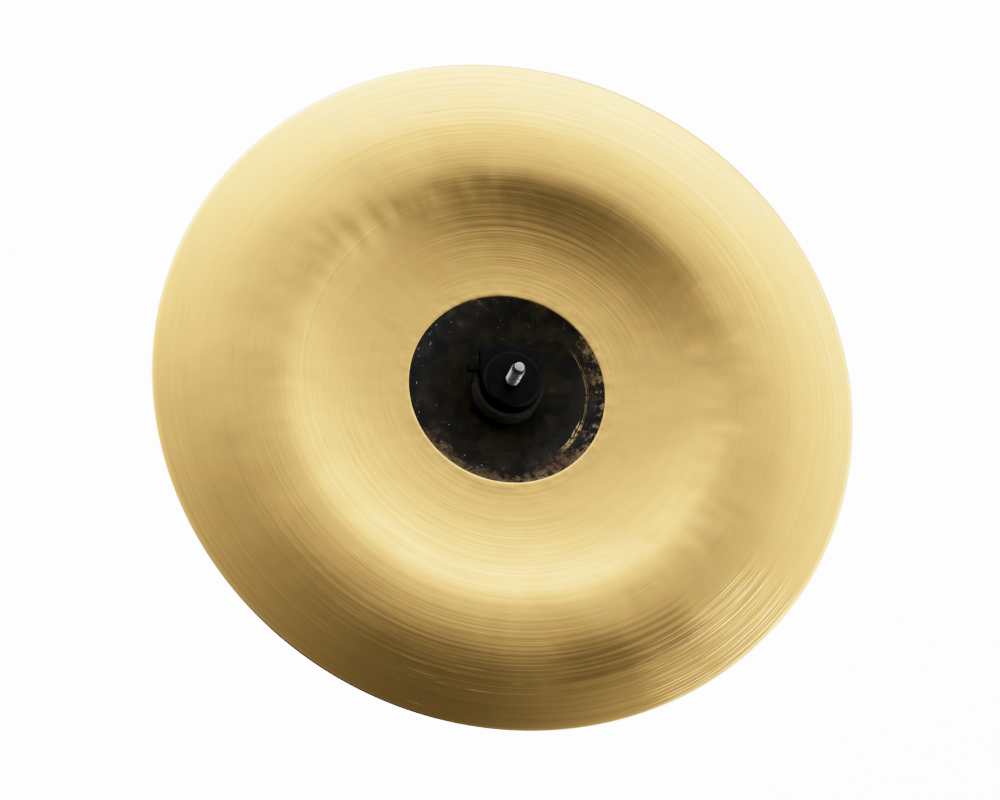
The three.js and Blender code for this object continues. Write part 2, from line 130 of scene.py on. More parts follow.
class Net:
    """A node tree that grows by one node at a time."""

    def __init__(self, tree):
        self.tree = tree
        tree.nodes.clear()

    def add(self, kind, settings=None, sockets=None):
        """Adds a node by its type, its settings and the values or links of its sockets."""
        node = self.tree.nodes.new(kind)
        for name, value in (settings or {}).items():
            setattr(node, name, value)
        for name, value in (sockets or {}).items():
            socket = self.socket(node.inputs, name)
            if isinstance(value, Wire):
                self.tree.links.new(value.socket, socket)
            else:
                socket.default_value = value
        shown = [socket for socket in node.outputs if socket.enabled]
        return Wire(self, shown[0]) if shown else None

    @staticmethod
    def socket(sockets, name):
        """The socket with a number, or the first one in use with a name."""
        if isinstance(name, int):
            return sockets[name]
        return next(socket for socket in sockets if socket.name == name and socket.enabled)

    def math(self, operation, *values):
        return self.add("ShaderNodeMath", {"operation": operation}, dict(enumerate(values)))

    def split(self, vector):
        parts = self.add("ShaderNodeSeparateXYZ", sockets={0: vector})
        return parts["X"], parts["Y"], parts["Z"]

    def join(self, x, y, z):
        return self.add("ShaderNodeCombineXYZ", sockets={"X": x, "Y": y, "Z": z})

    def noise(self, vector, scale, detail=2.0, roughness=0.5, output="Fac"):
        """Soft noise with so many lumps to a unit of its vector."""
        sockets = {"Vector": vector, "Scale": scale, "Detail": detail, "Roughness": roughness}
        return self.add("ShaderNodeTexNoise", sockets=sockets)[output]

    def cells(self, vector, scale, output, smoothness=0.0):
        """Cells round scattered points: each cell's colour, or the distance from its point."""
        settings = {"feature": "SMOOTH_F1" if smoothness else "F1"}
        sockets = {"Vector": vector, "Scale": scale}
        if smoothness:
            sockets["Smoothness"] = smoothness
        return self.add("ShaderNodeTexVoronoi", settings, sockets)[output]

    def fade(self, value, start, end, low=0.0, high=1.0):
        """A smooth step from low at start to high at end."""
        sockets = {"Value": value, "From Min": start, "From Max": end, "To Min": low, "To Max": high}
        return self.add("ShaderNodeMapRange", {"interpolation_type": "SMOOTHSTEP"}, sockets)

    def band(self, value, middle, half_width, soft):
        """One inside a band of values and nothing outside, with soft edges."""
        rise = self.fade(value, middle - half_width - soft, middle - half_width + soft)
        return rise * self.fade(value, middle + half_width - soft, middle + half_width + soft, 1.0, 0.0)

    def mix(self, factor, first, second):
        sockets = {"Factor": factor, "A": first, "B": second}
        return self.add("ShaderNodeMix", {"data_type": "RGBA"}, sockets)

    def scale(self, vector, factor):
        """A vector made longer by a factor."""
        settings = {"operation": "SCALE"}
        return self.add("ShaderNodeVectorMath", settings, {0: vector, "Scale": factor})

    def stretch(self, vector, scale):
        """A vector with a factor for each of its three parts."""
        settings = {"operation": "MULTIPLY"}
        return self.add("ShaderNodeVectorMath", settings, {0: vector, 1: scale})


class Surface(Net):
    """A material: a Principled shader and the nodes that feed it."""

    def __init__(self, name):
        self.material = bpy.data.materials.new(name)
        self.material.use_nodes = True
        super().__init__(self.material.node_tree)
        self.place = self.add("ShaderNodeTexCoord")["Object"]

    def bump(self, height, distance, normal=None):
        sockets = {"Height": height, "Distance": distance, "Strength": 1.0}
        if normal:
            sockets["Normal"] = normal
        return self.add("ShaderNodeBump", sockets=sockets)

    def done(self, **sockets):
        """Ends the tree in a Principled shader with these inputs, and returns the material."""
        named = {name.replace("_", " "): value for name, value in sockets.items()}
        shader = self.add("ShaderNodeBsdfPrincipled", sockets=named)
        self.add("ShaderNodeOutputMaterial", sockets={"Surface": shader})
        return self.material


class RoundSurface(Surface):
    """A material whose pattern runs round the stud's axis."""

    def __init__(self, name):
        super().__init__(name)
        x, y, self.level = self.split(self.place)
        self.radius = reach(x, y)
        self.across = x / self.radius
        self.along = y / self.radius

    def facing(self, angle):
        """How nearly a place lies in a direction from the stud."""
        return facing(self.across, self.along, angle)

    def beyond(self, radius, start, end, low=0.0, high=1.0):
        """A smooth step between two distances outside a radius."""
        return self.fade(self.radius, radius + start, radius + end, low, high)

    def sectors(self, turns, rows):
        """A vector for noise, with so much of it round the stud and so much to a metre of radius."""
        return self.join(self.across * turns, self.along * turns, self.radius * rows)

    def rings(self, rings_per_metre, turns, detail=2.0):
        """Noise drawn out along circles about the stud, as a lathe tool leaves it."""
        vector = self.join(self.radius * rings_per_metre, self.across * turns, self.along * turns)
        return self.noise(vector, 1.0, detail)

    def struck(self, look):
        """The surface's normal, leaning a little this way or that on each facet left by the hammer."""
        marks_round = look.ridge_radius / look.mark_size
        facets = self.cells(self.sectors(marks_round, 1 / (1.6 * look.mark_size)), 0.8, "Color", 0.4)
        lean = self.add("ShaderNodeVectorMath", {"operation": "SUBTRACT"}, {0: facets, 1: (0.5, 0.5, 0.5)})
        lean = self.add("ShaderNodeVectorTransform", {
            "vector_type": "VECTOR", "convert_from": "OBJECT", "convert_to": "WORLD"}, {0: lean})
        ridge = self.band(self.radius, look.ridge_radius - 8 * MM, 20 * MM, 12 * MM)
        aside = self.fade(abs(self.facing(look.groove_angle)), 0.6, 0.95, 1.0, 0.35)
        lean = self.scale(lean, look.facet_lean * aside * (0.2 + 0.8 * ridge))
        normal = self.add("ShaderNodeNewGeometry")["Normal"]
        whole = self.add("ShaderNodeVectorMath", {"operation": "ADD"}, {0: normal, 1: lean})
        return self.add("ShaderNodeVectorMath", {"operation": "NORMALIZE"}, {0: whole})


def colour(values, share=1.0):
    """A colour with its alpha, with each part of it scaled to a share."""
    return (*[share * part for part in values], 1.0)


def reach(x, y):
    """How far a place lies from the stud's axis."""
    return (x * x + y * y) ** 0.5


def facing(across, along, angle):
    """How nearly a place lies in a direction from the stud: one along it and minus one opposite."""
    return across * math.cos(angle) + along * math.sin(angle)


def lathed_bronze(look, name, back=False):
    """Bronze turned on a lathe: fine and coarse rings, thin scored lines and a faint tarnish."""
    surface = RoundSurface(name)
    rings = 1 / look.groove_pitch
    fine = surface.rings(rings, 1.2, 4.0)
    medium = surface.rings(0.45 * rings, 0.8, 3.0)
    coarse = surface.rings(0.14 * rings, 0.5)
    worn = surface.rings(1.6 * rings, 12.0)
    lines = surface.rings(0.9 * rings, 2.6)
    scored = surface.fade(lines, 0.66, 0.72) * surface.fade(worn, 0.4, 0.6)
    grooves = 0.8 * fine + medium * 2.6 + coarse * 3.0 - scored * 0.5
    height = groove_share(surface, look, lines) * grooves + lathe_step(surface, look) * 0.9

    patches = surface.noise(surface.place, 16.0, 3.0)
    tint = surface.fade(fine * 0.55 + medium * 0.2 + worn * 0.25, 0.3, 0.66)
    metal = surface.mix(tint, colour(look.bronze_shade), colour(look.bronze))
    metal = surface.mix(scored * 0.35, metal, colour(look.bronze_shade, 0.5))
    metal = tarnished(surface, look, metal, patches)
    # Painted shade: a dark band over one sector near the rim.
    metal = surface.mix(painted_shade_band(surface, look, medium, worn), metal, colour(look.bronze_shade, 0.5))

    specks = surface.noise(surface.place, 900.0, 2.0)
    roughness = look.polish + 0.07 * fine + 0.06 * patches + surface.fade(specks, 0.62, 0.8, 0.0, 0.06)
    if back:
        stains = surface.noise(surface.place, 38.0, 5.0, 0.62)
        stained = colour(look.bronze_stained)
        ringed = surface.mix(surface.fade(fine * 0.5 + medium * 0.5, 0.35, 0.6), stained, metal)
        metal = surface.mix(surface.fade(stains, 0.4, 0.75, 0.1, 0.7), ringed, stained)
        roughness = roughness + 0.12 * stains
    # Painted shade: the rim's edge is darkened nearly to black.
    edge = painted_rim_shade(surface, look, back)
    return surface.done(
        Base_Color=surface.mix(edge * 0.9, metal, colour(look.rim_shade_tone)),
        Metallic=1.0,
        Roughness=roughness + edge * 0.3,
        Anisotropic=0.55,
        Anisotropic_Rotation=0.25,
        Normal=surface.bump(height, look.groove_depth, surface.struck(look)),
    )


def groove_share(surface, look, lines):
    """The grooves' depth: full in two opposite directions, worn between, and deeper in one sector."""
    share = surface.fade(abs(surface.facing(look.groove_angle)), 0.25, 0.85, look.worn_share, 1.0)
    streaked = surface.fade(surface.facing(look.streak_angle), 0.94, 0.988)
    streaked = streaked * surface.beyond(look.ridge_radius, 18 * MM, 32 * MM)
    return share + 1.15 * streaked * surface.fade(lines, 0.35, 0.6, 0.4, 1.0)


def lathe_step(surface, look):
    """The thin step that the lathe tool left over part of a circle."""
    seam = surface.noise(surface.join(surface.across * 1.5, surface.along * 1.5, 3.0), 1.0, 1.0)
    radius = surface.radius + (seam - 0.5) * 2 * MM
    step = surface.fade(radius, look.step_radius - 0.35 * MM, look.step_radius + 0.35 * MM)
    return step * surface.fade(surface.facing(look.step_angle), 0.74, 0.9)


def tarnished(surface, look, metal, patches):
    """The metal with warm clouds and greenish smudges over it."""
    clouds = surface.noise(surface.sectors(7, 30), 1.0, 3.0, 0.6)
    warm = surface.fade(patches * 0.5 + clouds * 0.5, 0.42, 0.7, 0.0, 0.55)
    metal = surface.mix(warm, metal, colour(look.bronze_warm))
    smudges = surface.noise(surface.sectors(9, 42), 1.0, 4.0, 0.62)
    return surface.mix(surface.fade(smudges, 0.5, 0.68, 0.0, 0.6), metal, colour(look.bronze_green))


def painted_shade_band(surface, look, medium, worn):
    """Where a band of painted shade darkens the bronze in one sector outside the ridge, streaked along the
    rings.
    """
    near = surface.facing(look.shade_band_angle) + 0.02 * (worn - 0.5)
    share = surface.fade(near, 0.95, 0.985)
    share = share * surface.beyond(look.ridge_radius, 6 * MM, 24 * MM)
    share = share * surface.beyond(look.ridge_radius, 34 * MM, 50 * MM, 1.0, 0.2)
    return share * surface.fade(medium, 0.4, 0.58, 0.35, 1.0)


def painted_rim_shade(surface, look, back):
    """Where shade is painted on the rim's edge: round its side and back, and over one stretch of its face.
    """
    rim = surface.beyond(look.rim_radius, -0.75 * MM, -0.5 * MM)
    if back:
        return rim
    side = surface.fade(surface.level, look.rim_level + 0.5 * MM, look.rim_level + 0.75 * MM, 1.0, 0.0)
    stretch = surface.fade(surface.facing(look.rim_shade_angle), 0.93, 0.975)
    return rim * side.math("MAXIMUM", stretch)


def raw_bell(look):
    """The unlathed bell: a dark scale with hammered facets, worn brown at its edge, partly as a painted
    highlight, and with bright lines along it.
    """
    surface = RoundSurface("raw_bell")
    facet_shade = surface.split(surface.cells(surface.place, 105.0, "Color", 0.5))[0]
    hollows = surface.cells(surface.place, 105.0, "Distance", 0.3)
    blotches = surface.noise(surface.place, 85.0, 5.0, 0.66)
    mottle = surface.noise(surface.place, 330.0, 5.0, 0.7)
    scale = surface.noise(surface.place, 30.0, 2.0)

    edge = surface.fade(surface.radius, look.bell_radius * 0.66, look.bell_radius)
    # Partly real wear, partly painted highlight: the brighter, more metallic patches are heaviest where
    # light catches the bell's edge.
    worn = edge * bell_wear_and_light(surface)
    veins = abs(surface.noise(surface.place, 210.0, 3.0) - 0.5)
    cracks = surface.fade(veins, 0.0, 0.035, 0.15, 1.0)
    bare = surface.fade(blotches + worn + 0.1 * scale, 0.7, 0.84) * cracks
    wiped = surface.fade(mottle * 0.65 + blotches * 0.35 + worn, 0.68, 0.76) * cracks
    scratched = bell_scratches(surface, mottle, edge)
    # Three bright metal lines along the bell's edge, sunk a little.
    arc = bright_arcs(surface, look, mottle)

    browned = surface.fade(blotches + 0.25 * facet_shade, 0.4, 0.8)
    skin = surface.mix(browned, colour(look.patina), colour(look.patina_brown))
    skin = surface.mix(bare * 0.75, skin, colour(look.patina_bare))
    wiped_tone = surface.mix(
        surface.fade(scale, 0.35, 0.65), colour(look.patina_wiped), colour(look.patina_red))
    skin = surface.mix(wiped * 0.8, skin, wiped_tone)
    skin = surface.mix(scratched * 0.5, skin, colour(look.patina_wiped))
    skin = surface.mix(arc * 0.75, skin, colour(look.bronze, 0.5))
    height = 2.2 * hollows + blotches + 0.35 * mottle - 0.8 * scratched - 0.6 * arc
    return surface.done(
        Base_Color=surface.mix(pale_flecks(surface, look, mottle), skin, colour(look.fleck)),
        Metallic=surface.fade(bare * 0.5 + wiped + arc + scratched, 0.2, 1.0, 0.0, 0.9),
        Roughness=surface.fade(blotches, 0.3, 0.8, 0.5, 0.36) - 0.06 * facet_shade,
        Specular_IOR_Level=0.032,
        Normal=surface.bump(height, 0.16 * MM),
    )


def bell_wear_and_light(surface):
    """How much more the bell's edge is worn and lit towards -Y and +X, and a little towards +Y: partly real
    wear, partly a painted highlight where light catches the bell's wall.
    """
    near = surface.fade(surface.along, 0.1, -0.75)
    flank = surface.fade(surface.across, 0.55, 0.85)
    far = surface.fade(surface.along, 0.75, 0.95)
    return 0.05 + 0.19 * near.math("MAXIMUM", flank * 0.75) + 0.08 * far


def bell_scratches(surface, mottle, edge):
    """Fine scratches in two directions, most of them near the bell's edge."""
    streaks = surface.noise(surface.stretch(surface.place, (60.0, 420.0, 60.0)), 1.0, 3.0)
    crossing = surface.noise(surface.stretch(surface.place, (500.0, 90.0, 60.0)), 1.0, 3.0)
    scratched = surface.fade(streaks, 0.69, 0.73) + surface.fade(crossing, 0.7, 0.74)
    return scratched * surface.fade(mottle, 0.42, 0.6) * (0.25 + 0.75 * edge)


def pale_flecks(surface, look, mottle):
    """Pale flecks scattered over the bell's -X side, and short dashes along its edge there."""
    slanted = surface.stretch(surface.place, (1.0, 1.9, 1.0))
    spots = surface.cells(slanted, 380.0, "Distance") + (mottle - 0.5) * 0.5
    chosen = surface.split(surface.cells(slanted, 380.0, "Color"))[1]
    flecks = surface.fade(spots, 0.04, 0.2, 1.0, 0.0) * surface.fade(chosen, 0.955, 0.96)
    flecks = flecks * surface.fade(surface.radius, look.bell_radius * 0.6, look.bell_radius * 0.75)
    flecks = flecks * surface.fade(surface.across, 0.2, -0.5)
    dashes = surface.fade(surface.rings(1100.0, 11.0), 0.68, 0.72)
    dashes = dashes * surface.band(surface.radius, look.bell_radius * 0.93, 3.0 * MM, 1.0 * MM)
    dashes = dashes * surface.fade(surface.across, -0.7, -0.9)
    return (flecks + 0.7 * dashes).math("MINIMUM", 1.0)


def bright_arcs(surface, look, mottle):
    """Three bright lines along the bell's edge, which wander and thicken towards one end."""
    wander = surface.noise(surface.join(surface.across * 3, surface.along * 3, 0.0), 1.0, 3.0) - 0.5
    stretch = surface.fade(surface.facing(look.arc_angle), 0.7, 0.86)
    stretch = stretch * surface.fade(mottle, 0.36, 0.52)
    tail = surface.fade(surface.along, -0.3, -0.42)
    arcs = (
        {"offset": 0.0, "half_width": 0.1 * MM, "sway": 2.0 * MM, "tail_width": 0.35 * MM},
        {"offset": 0.9 * MM, "half_width": 0.05 * MM, "sway": 2.6 * MM, "tail_width": 0.1 * MM},
        {"offset": -1.3 * MM, "half_width": -0.1 * MM, "sway": 5.0 * MM, "tail_width": 0.5 * MM})
    shown = 0.0
    for arc in arcs:
        drift = surface.radius + wander * arc["sway"]
        aside = abs(drift - (look.arc_radius + arc["offset"]))
        width = arc["half_width"] + tail * arc["tail_width"]
        line = surface.fade(aside - width, -0.1 * MM, 0.14 * MM, 1.0, 0.0)
        shown = line * stretch + shown
    return shown


def plated(name, tone, rough, peel, shade_from=0.0, shade_to=0.0):
    """Plated metal: a faint orange peel, fine scratches and dull specks, and painted shade between two
    radii.
    """
    surface = Surface(name)
    cloud = surface.noise(surface.place, 90.0, 3.0)
    grain = surface.noise(surface.stretch(surface.place, (1.0, 1.0, 9.0)), 420.0, 3.0)
    specks = surface.noise(surface.place, 1500.0, 2.0)
    shade = surface.mix(
        surface.fade(cloud + 0.4 * grain, 0.5, 0.95), colour(tone), colour(tone, 0.82))
    roughness = rough + 0.1 * surface.fade(cloud, 0.4, 0.7) + surface.fade(specks, 0.6, 0.75, 0.0, 0.12)
    # Painted shade: between the two radii the metal is made nearly black and dull.
    if shade_to:
        x, y, _ = surface.split(surface.place)
        painted_shade = surface.band(reach(x, y), (shade_from + shade_to) / 2, (shade_to - shade_from) / 2, 0.08 * MM)
        shade = surface.mix(painted_shade, shade, colour(tone, 0.05))
        roughness = roughness + 0.4 * painted_shade
    return surface.done(
        Base_Color=shade,
        Metallic=1 - 0.95 * painted_shade if shade_to else 1.0,
        Roughness=roughness,
        Specular_IOR_Level=0.08,
        Normal=surface.bump(cloud + 0.3 * grain + 0.1 * specks, peel),
    )


def moulded(name, tone, rough, grain_depth, shine):
    """Moulded plastic: a fine grain, rubbed patches and a few pale scuffs."""
    surface = Surface(name)
    grain = surface.noise(surface.place, 3200.0, 2.0)
    cloud = surface.noise(surface.place, 130.0, 3.0)
    scuffs = surface.noise(surface.stretch(surface.place, (1.0, 5.0, 2.0)), 520.0, 4.0, 0.6)
    pale = surface.fade(scuffs, 0.66, 0.8) * surface.fade(cloud, 0.45, 0.65)
    shade = surface.mix(surface.fade(cloud, 0.3, 0.7), colour(tone), colour(tone, 1.5))
    shade = surface.mix(pale * 0.35, shade, colour(tone, 3.5))
    return surface.done(
        Base_Color=shade,
        Roughness=rough + 0.16 * surface.fade(cloud, 0.35, 0.7) - 0.08 * pale,
        Specular_IOR_Level=shine,
        Normal=surface.bump(grain + 0.8 * scuffs, grain_depth),
    )


def felted(name, tone, pale_tone):
    """Pressed wool: matted fibres in every direction, with paler hairs and a soft sheen."""
    surface = Surface(name)
    matted = surface.noise(surface.place, 420.0, 6.0, 0.68)
    flat = surface.noise(surface.stretch(surface.place, (1.0, 1.0, 4.0)), 900.0, 4.0, 0.7)
    hairs = surface.fade(abs(flat - 0.5), 0.0, 0.05, 1.0, 0.0)
    cloud = surface.noise(surface.place, 70.0, 2.0)
    shade = surface.mix(surface.fade(matted, 0.3, 0.7), colour(tone), colour(pale_tone))
    shade = surface.mix(hairs * 0.3, shade, colour(pale_tone, 1.4))
    shade = surface.mix(surface.fade(cloud, 0.4, 0.8, 0.0, 0.35), shade, colour(tone))
    return surface.done(
        Base_Color=shade,
        Roughness=0.92 + 0.06 * matted,
        Specular_IOR_Level=0.04,
        Sheen_Weight=0.02,
        Sheen_Roughness=0.5,
        Normal=surface.bump(matted + 0.5 * hairs, 0.35 * MM),
    )


def pressed_fibre(name, tone):
    """Pressed fibre sheet with long dark and pale flecks."""
    surface = Surface(name)
    flecks = surface.noise(surface.stretch(surface.place, (6.0, 1.0, 1.0)), 380.0, 5.0, 0.65)
    cloud = surface.noise(surface.place, 110.0, 3.0)
    shade = surface.mix(surface.fade(flecks, 0.35, 0.7), colour(tone), colour(tone, 1.9))
    shade = surface.mix(surface.fade(cloud, 0.5, 0.8, 0.0, 0.5), shade, colour(tone, 0.5))
    return surface.done(
        Base_Color=shade,
        Roughness=0.72 + 0.2 * flecks,
        Specular_IOR_Level=0.3,
        Normal=surface.bump(flecks, 0.12 * MM),
    )


def pale_floor(look):
    """A pale floor with a soft pool of light, which can't be seen from below."""
    surface = Surface("pale_floor")
    cloud = surface.noise(surface.place, 1.5, 2.0)
    shade = surface.mix(cloud, colour(look.floor_tone), colour(look.floor_tone, 0.97))
    seen = 1 - surface.add("ShaderNodeNewGeometry")["Backfacing"]
    x, y, _ = surface.split(surface.place)
    away = reach(x, y)
    glow = surface.fade(away, 0.72, 1.7, 1.0, 0.1)
    # Painted shade: the floor darkens away from the object, outside the pool of light.
    shade = surface.mix(surface.fade(away, 0.8, 2.4), shade, colour(look.floor_far_shade))
    return surface.done(
        Base_Color=shade,
        Roughness=0.9,
        Specular_IOR_Level=0.1,
        Emission_Color=surface.mix(glow, colour((0, 0, 0)), colour(look.floor_tone)),
        Emission_Strength=look.floor_glow,
        Alpha=seen,
    )


def node_points(node):
    """A CAD node's corners as an array of places."""
    return np.array([vertex.co for vertex in frame["nodes"][node].data.vertices], float)


def part_box(node, keep):
    """The box of those corners of a CAD node that a test keeps."""
    points = node_points(node)
    chosen = points[keep(points)]
    return Vector(chosen.min(0)), Vector(chosen.max(0))


def bore_radius(node, centre=(0.0, 0.0), axes=(0, 1)):
    """The least distance of a node's corners from an axis."""
    points = node_points(node)
    return float(np.hypot(points[:, axes[0]] - centre[0], points[:, axes[1]] - centre[1]).min())


def mesh_of(shape, name):
    """A bmesh turned into a mesh with its faces pointing outwards."""
    bmesh.ops.recalc_face_normals(shape, faces=shape.faces)
    mesh = bpy.data.meshes.new(name)
    shape.to_mesh(mesh)
    shape.free()
    return mesh


def piece(name, mesh, material=None):
    """An object in the scene with a mesh and, where given, one material."""
    made = bpy.data.objects.new(name, mesh)
    bpy.context.scene.collection.objects.link(made)
    if material:
        mesh.materials.clear()
        mesh.materials.append(material)
    return made


def plain_mesh(made):
    """The mesh of an object with its modifiers worked in."""
    graph = bpy.context.evaluated_depsgraph_get()
    graph.update()
    return bpy.data.meshes.new_from_object(made.evaluated_get(graph))


def smooth(mesh, angle=SHARP_ANGLE):
    """Shades a mesh smoothly but for its edges that are sharper than an angle."""
    mesh.shade_smooth()
    mesh.set_sharp_from_angle(angle=angle)
    return mesh


def outwards(mesh):
    """Turns a closed mesh's faces outwards."""
    shape = bmesh.new()
    shape.from_mesh(mesh)
    bmesh.ops.recalc_face_normals(shape, faces=shape.faces)
    shape.to_mesh(mesh)
    shape.free()
    return mesh


def grown(name, source, tree, values):
    """Runs a Geometry Nodes tree on a source mesh and keeps the result as a plain mesh."""
    made = piece(name, source)
    growth = made.modifiers.new("growth", "NODES")
    growth.node_group = tree
    named = {item.name: item.identifier for item in tree.interface.items_tree if item.in_out == "INPUT"}
    for label, value in values.items():
        growth[named[label]] = value
    mesh = plain_mesh(made)
    made.modifiers.remove(growth)
    bpy.data.objects.remove(made)
    return outwards(mesh)


def new_tree(name, inputs):
    """A Geometry Nodes tree with named inputs, and its group input's outputs."""
    tree = bpy.data.node_groups.new(name, "GeometryNodeTree")
    tree.interface.new_socket("Geometry", in_out="INPUT", socket_type="NodeSocketGeometry")
    for label, kind in inputs:
        tree.interface.new_socket(label, in_out="INPUT", socket_type="NodeSocket" + kind)
    tree.interface.new_socket("Geometry", in_out="OUTPUT", socket_type="NodeSocketGeometry")
    net = Net(tree)
    return net, net.add("NodeGroupInput")


def close_tree(net, geometry, materials):
    """Ends a tree in Realize Instances and Set Material, and returns it."""
    geometry = net.add("GeometryNodeRealizeInstances", sockets={"Geometry": geometry})
    for material, where in materials:
        sockets = {"Geometry": geometry, "Material": material}
        if where:
            sockets["Selection"] = where
        geometry = net.add("GeometryNodeSetMaterial", sockets=sockets)
    net.add("NodeGroupOutput", sockets={"Geometry": geometry})
    return net.tree


def swept_grid(net, given):
    """A grid with a column for each outline point: its places, and each place's angle."""
    grid = net.add("GeometryNodeMeshGrid", sockets={
        "Size X": 1.0, "Size Y": 1.0, "Vertices X": given["Points"], "Vertices Y": given["Sides"] + 1})
    across, up, _ = net.split(net.add("GeometryNodeInputPosition"))
    column = ((across + 0.5) * (given["Points"] - 1)).math("ROUND")
    return grid, column, (up + 0.5) * FULL_TURN


def sampled(net, given, value, kind, column):
    """A value of the outline's point that stands for a column of the grid."""
    sockets = {"Geometry": given["Geometry"], "Value": value, "Index": column}
    return net.add("GeometryNodeSampleIndex", {"data_type": kind, "domain": "POINT"}, sockets)


def turned_tree():
    """Turns an outline about Z, and cuts a screw thread where the outline's points ask for one."""
    net, given = new_tree("turned", [
        ("Points", "Int"), ("Sides", "Int"), ("Pitch", "Float"), ("Depth", "Float"), ("Finish", "Material")])
    grid, column, angle = swept_grid(net, given)
    place = sampled(net, given, net.add("GeometryNodeInputPosition"), "FLOAT_VECTOR", column)
    mask_name = net.add("GeometryNodeInputNamedAttribute", {"data_type": "FLOAT"}, {"Name": "thread"})
    mask = sampled(net, given, mask_name, "FLOAT", column)
    radius, _, level = net.split(place)
    turn = (level / given["Pitch"] - angle / FULL_TURN).math("FRACT")
    groove = net.fade(abs(turn * 2 - 1), 0.12, 0.88)
    radius = radius - mask * given["Depth"] * groove
    moved = net.join(radius * angle.math("COSINE"), radius * angle.math("SINE"), level)
    shape = net.add("GeometryNodeSetPosition", sockets={"Geometry": grid, "Position": moved})
    shape = net.add("GeometryNodeMergeByDistance", sockets={"Geometry": shape, "Distance": MERGE_DISTANCE})
    return close_tree(net, shape, [(given["Finish"], None)])


def coil_tree():
    """A helix of round wire with its ends closed, standing on the middle of its foot."""
    net, given = new_tree("coil", [
        ("Curls", "Float"), ("Coil Radius", "Float"), ("Wire Radius", "Float"), ("Height", "Float"),
        ("Steps", "Int"), ("Finish", "Material")])
    line = net.add("GeometryNodeCurveSpiral", sockets={
        "Resolution": given["Steps"], "Rotations": given["Curls"], "Start Radius": given["Coil Radius"],
        "End Radius": given["Coil Radius"], "Height": given["Height"]})
    wire = net.add("GeometryNodeCurvePrimitiveCircle", sockets={
        "Resolution": 10, "Radius": given["Wire Radius"]})
    shape = net.add("GeometryNodeCurveToMesh", sockets={
        "Curve": line, "Profile Curve": wire, "Fill Caps": True})
    return close_tree(net, shape, [(given["Finish"], None)])


def felt_tree():
    """Roughens a felt's surface and sets short fibres standing out of it."""
    net, given = new_tree("felt", [
        ("Swell", "Float"), ("Fibres", "Float"), ("Fibre Length", "Float"), ("Fibre Radius", "Float"),
        ("Seed", "Int"), ("Finish", "Material")])
    place = net.add("GeometryNodeInputPosition")
    normal = net.add("GeometryNodeInputNormal")
    lumps = net.noise(place, 260.0, 3.0) - 0.62
    push = net.scale(normal, lumps * given["Swell"])
    pad = net.add("GeometryNodeSetPosition", sockets={"Geometry": given["Geometry"], "Offset": push})
    roots = net.add("GeometryNodeDistributePointsOnFaces", sockets={
        "Mesh": pad, "Density": given["Fibres"], "Seed": given["Seed"]})
    fibre = net.add("GeometryNodeMeshCone", sockets={
        "Vertices": 3, "Radius Top": 0.0, "Radius Bottom": given["Fibre Radius"],
        "Depth": given["Fibre Length"]})
    way = net.add("FunctionNodeRandomValue", {"data_type": "FLOAT_VECTOR"}, {
        "Min": (-1.0, -1.0, -0.6), "Max": (1.0, 1.0, 0.6), "Seed": given["Seed"]})
    aim = net.add("FunctionNodeAlignRotationToVector", sockets={
        "Rotation": roots["Rotation"], "Vector": way})
    hairs = net.add("GeometryNodeInstanceOnPoints", sockets={
        "Points": roots, "Instance": fibre, "Rotation": aim})
    both = net.add("GeometryNodeJoinGeometry", sockets={"Geometry": pad})
    net.tree.links.new(hairs.socket, both.socket.node.inputs["Geometry"])
    return close_tree(net, both, [(given["Finish"], None)])


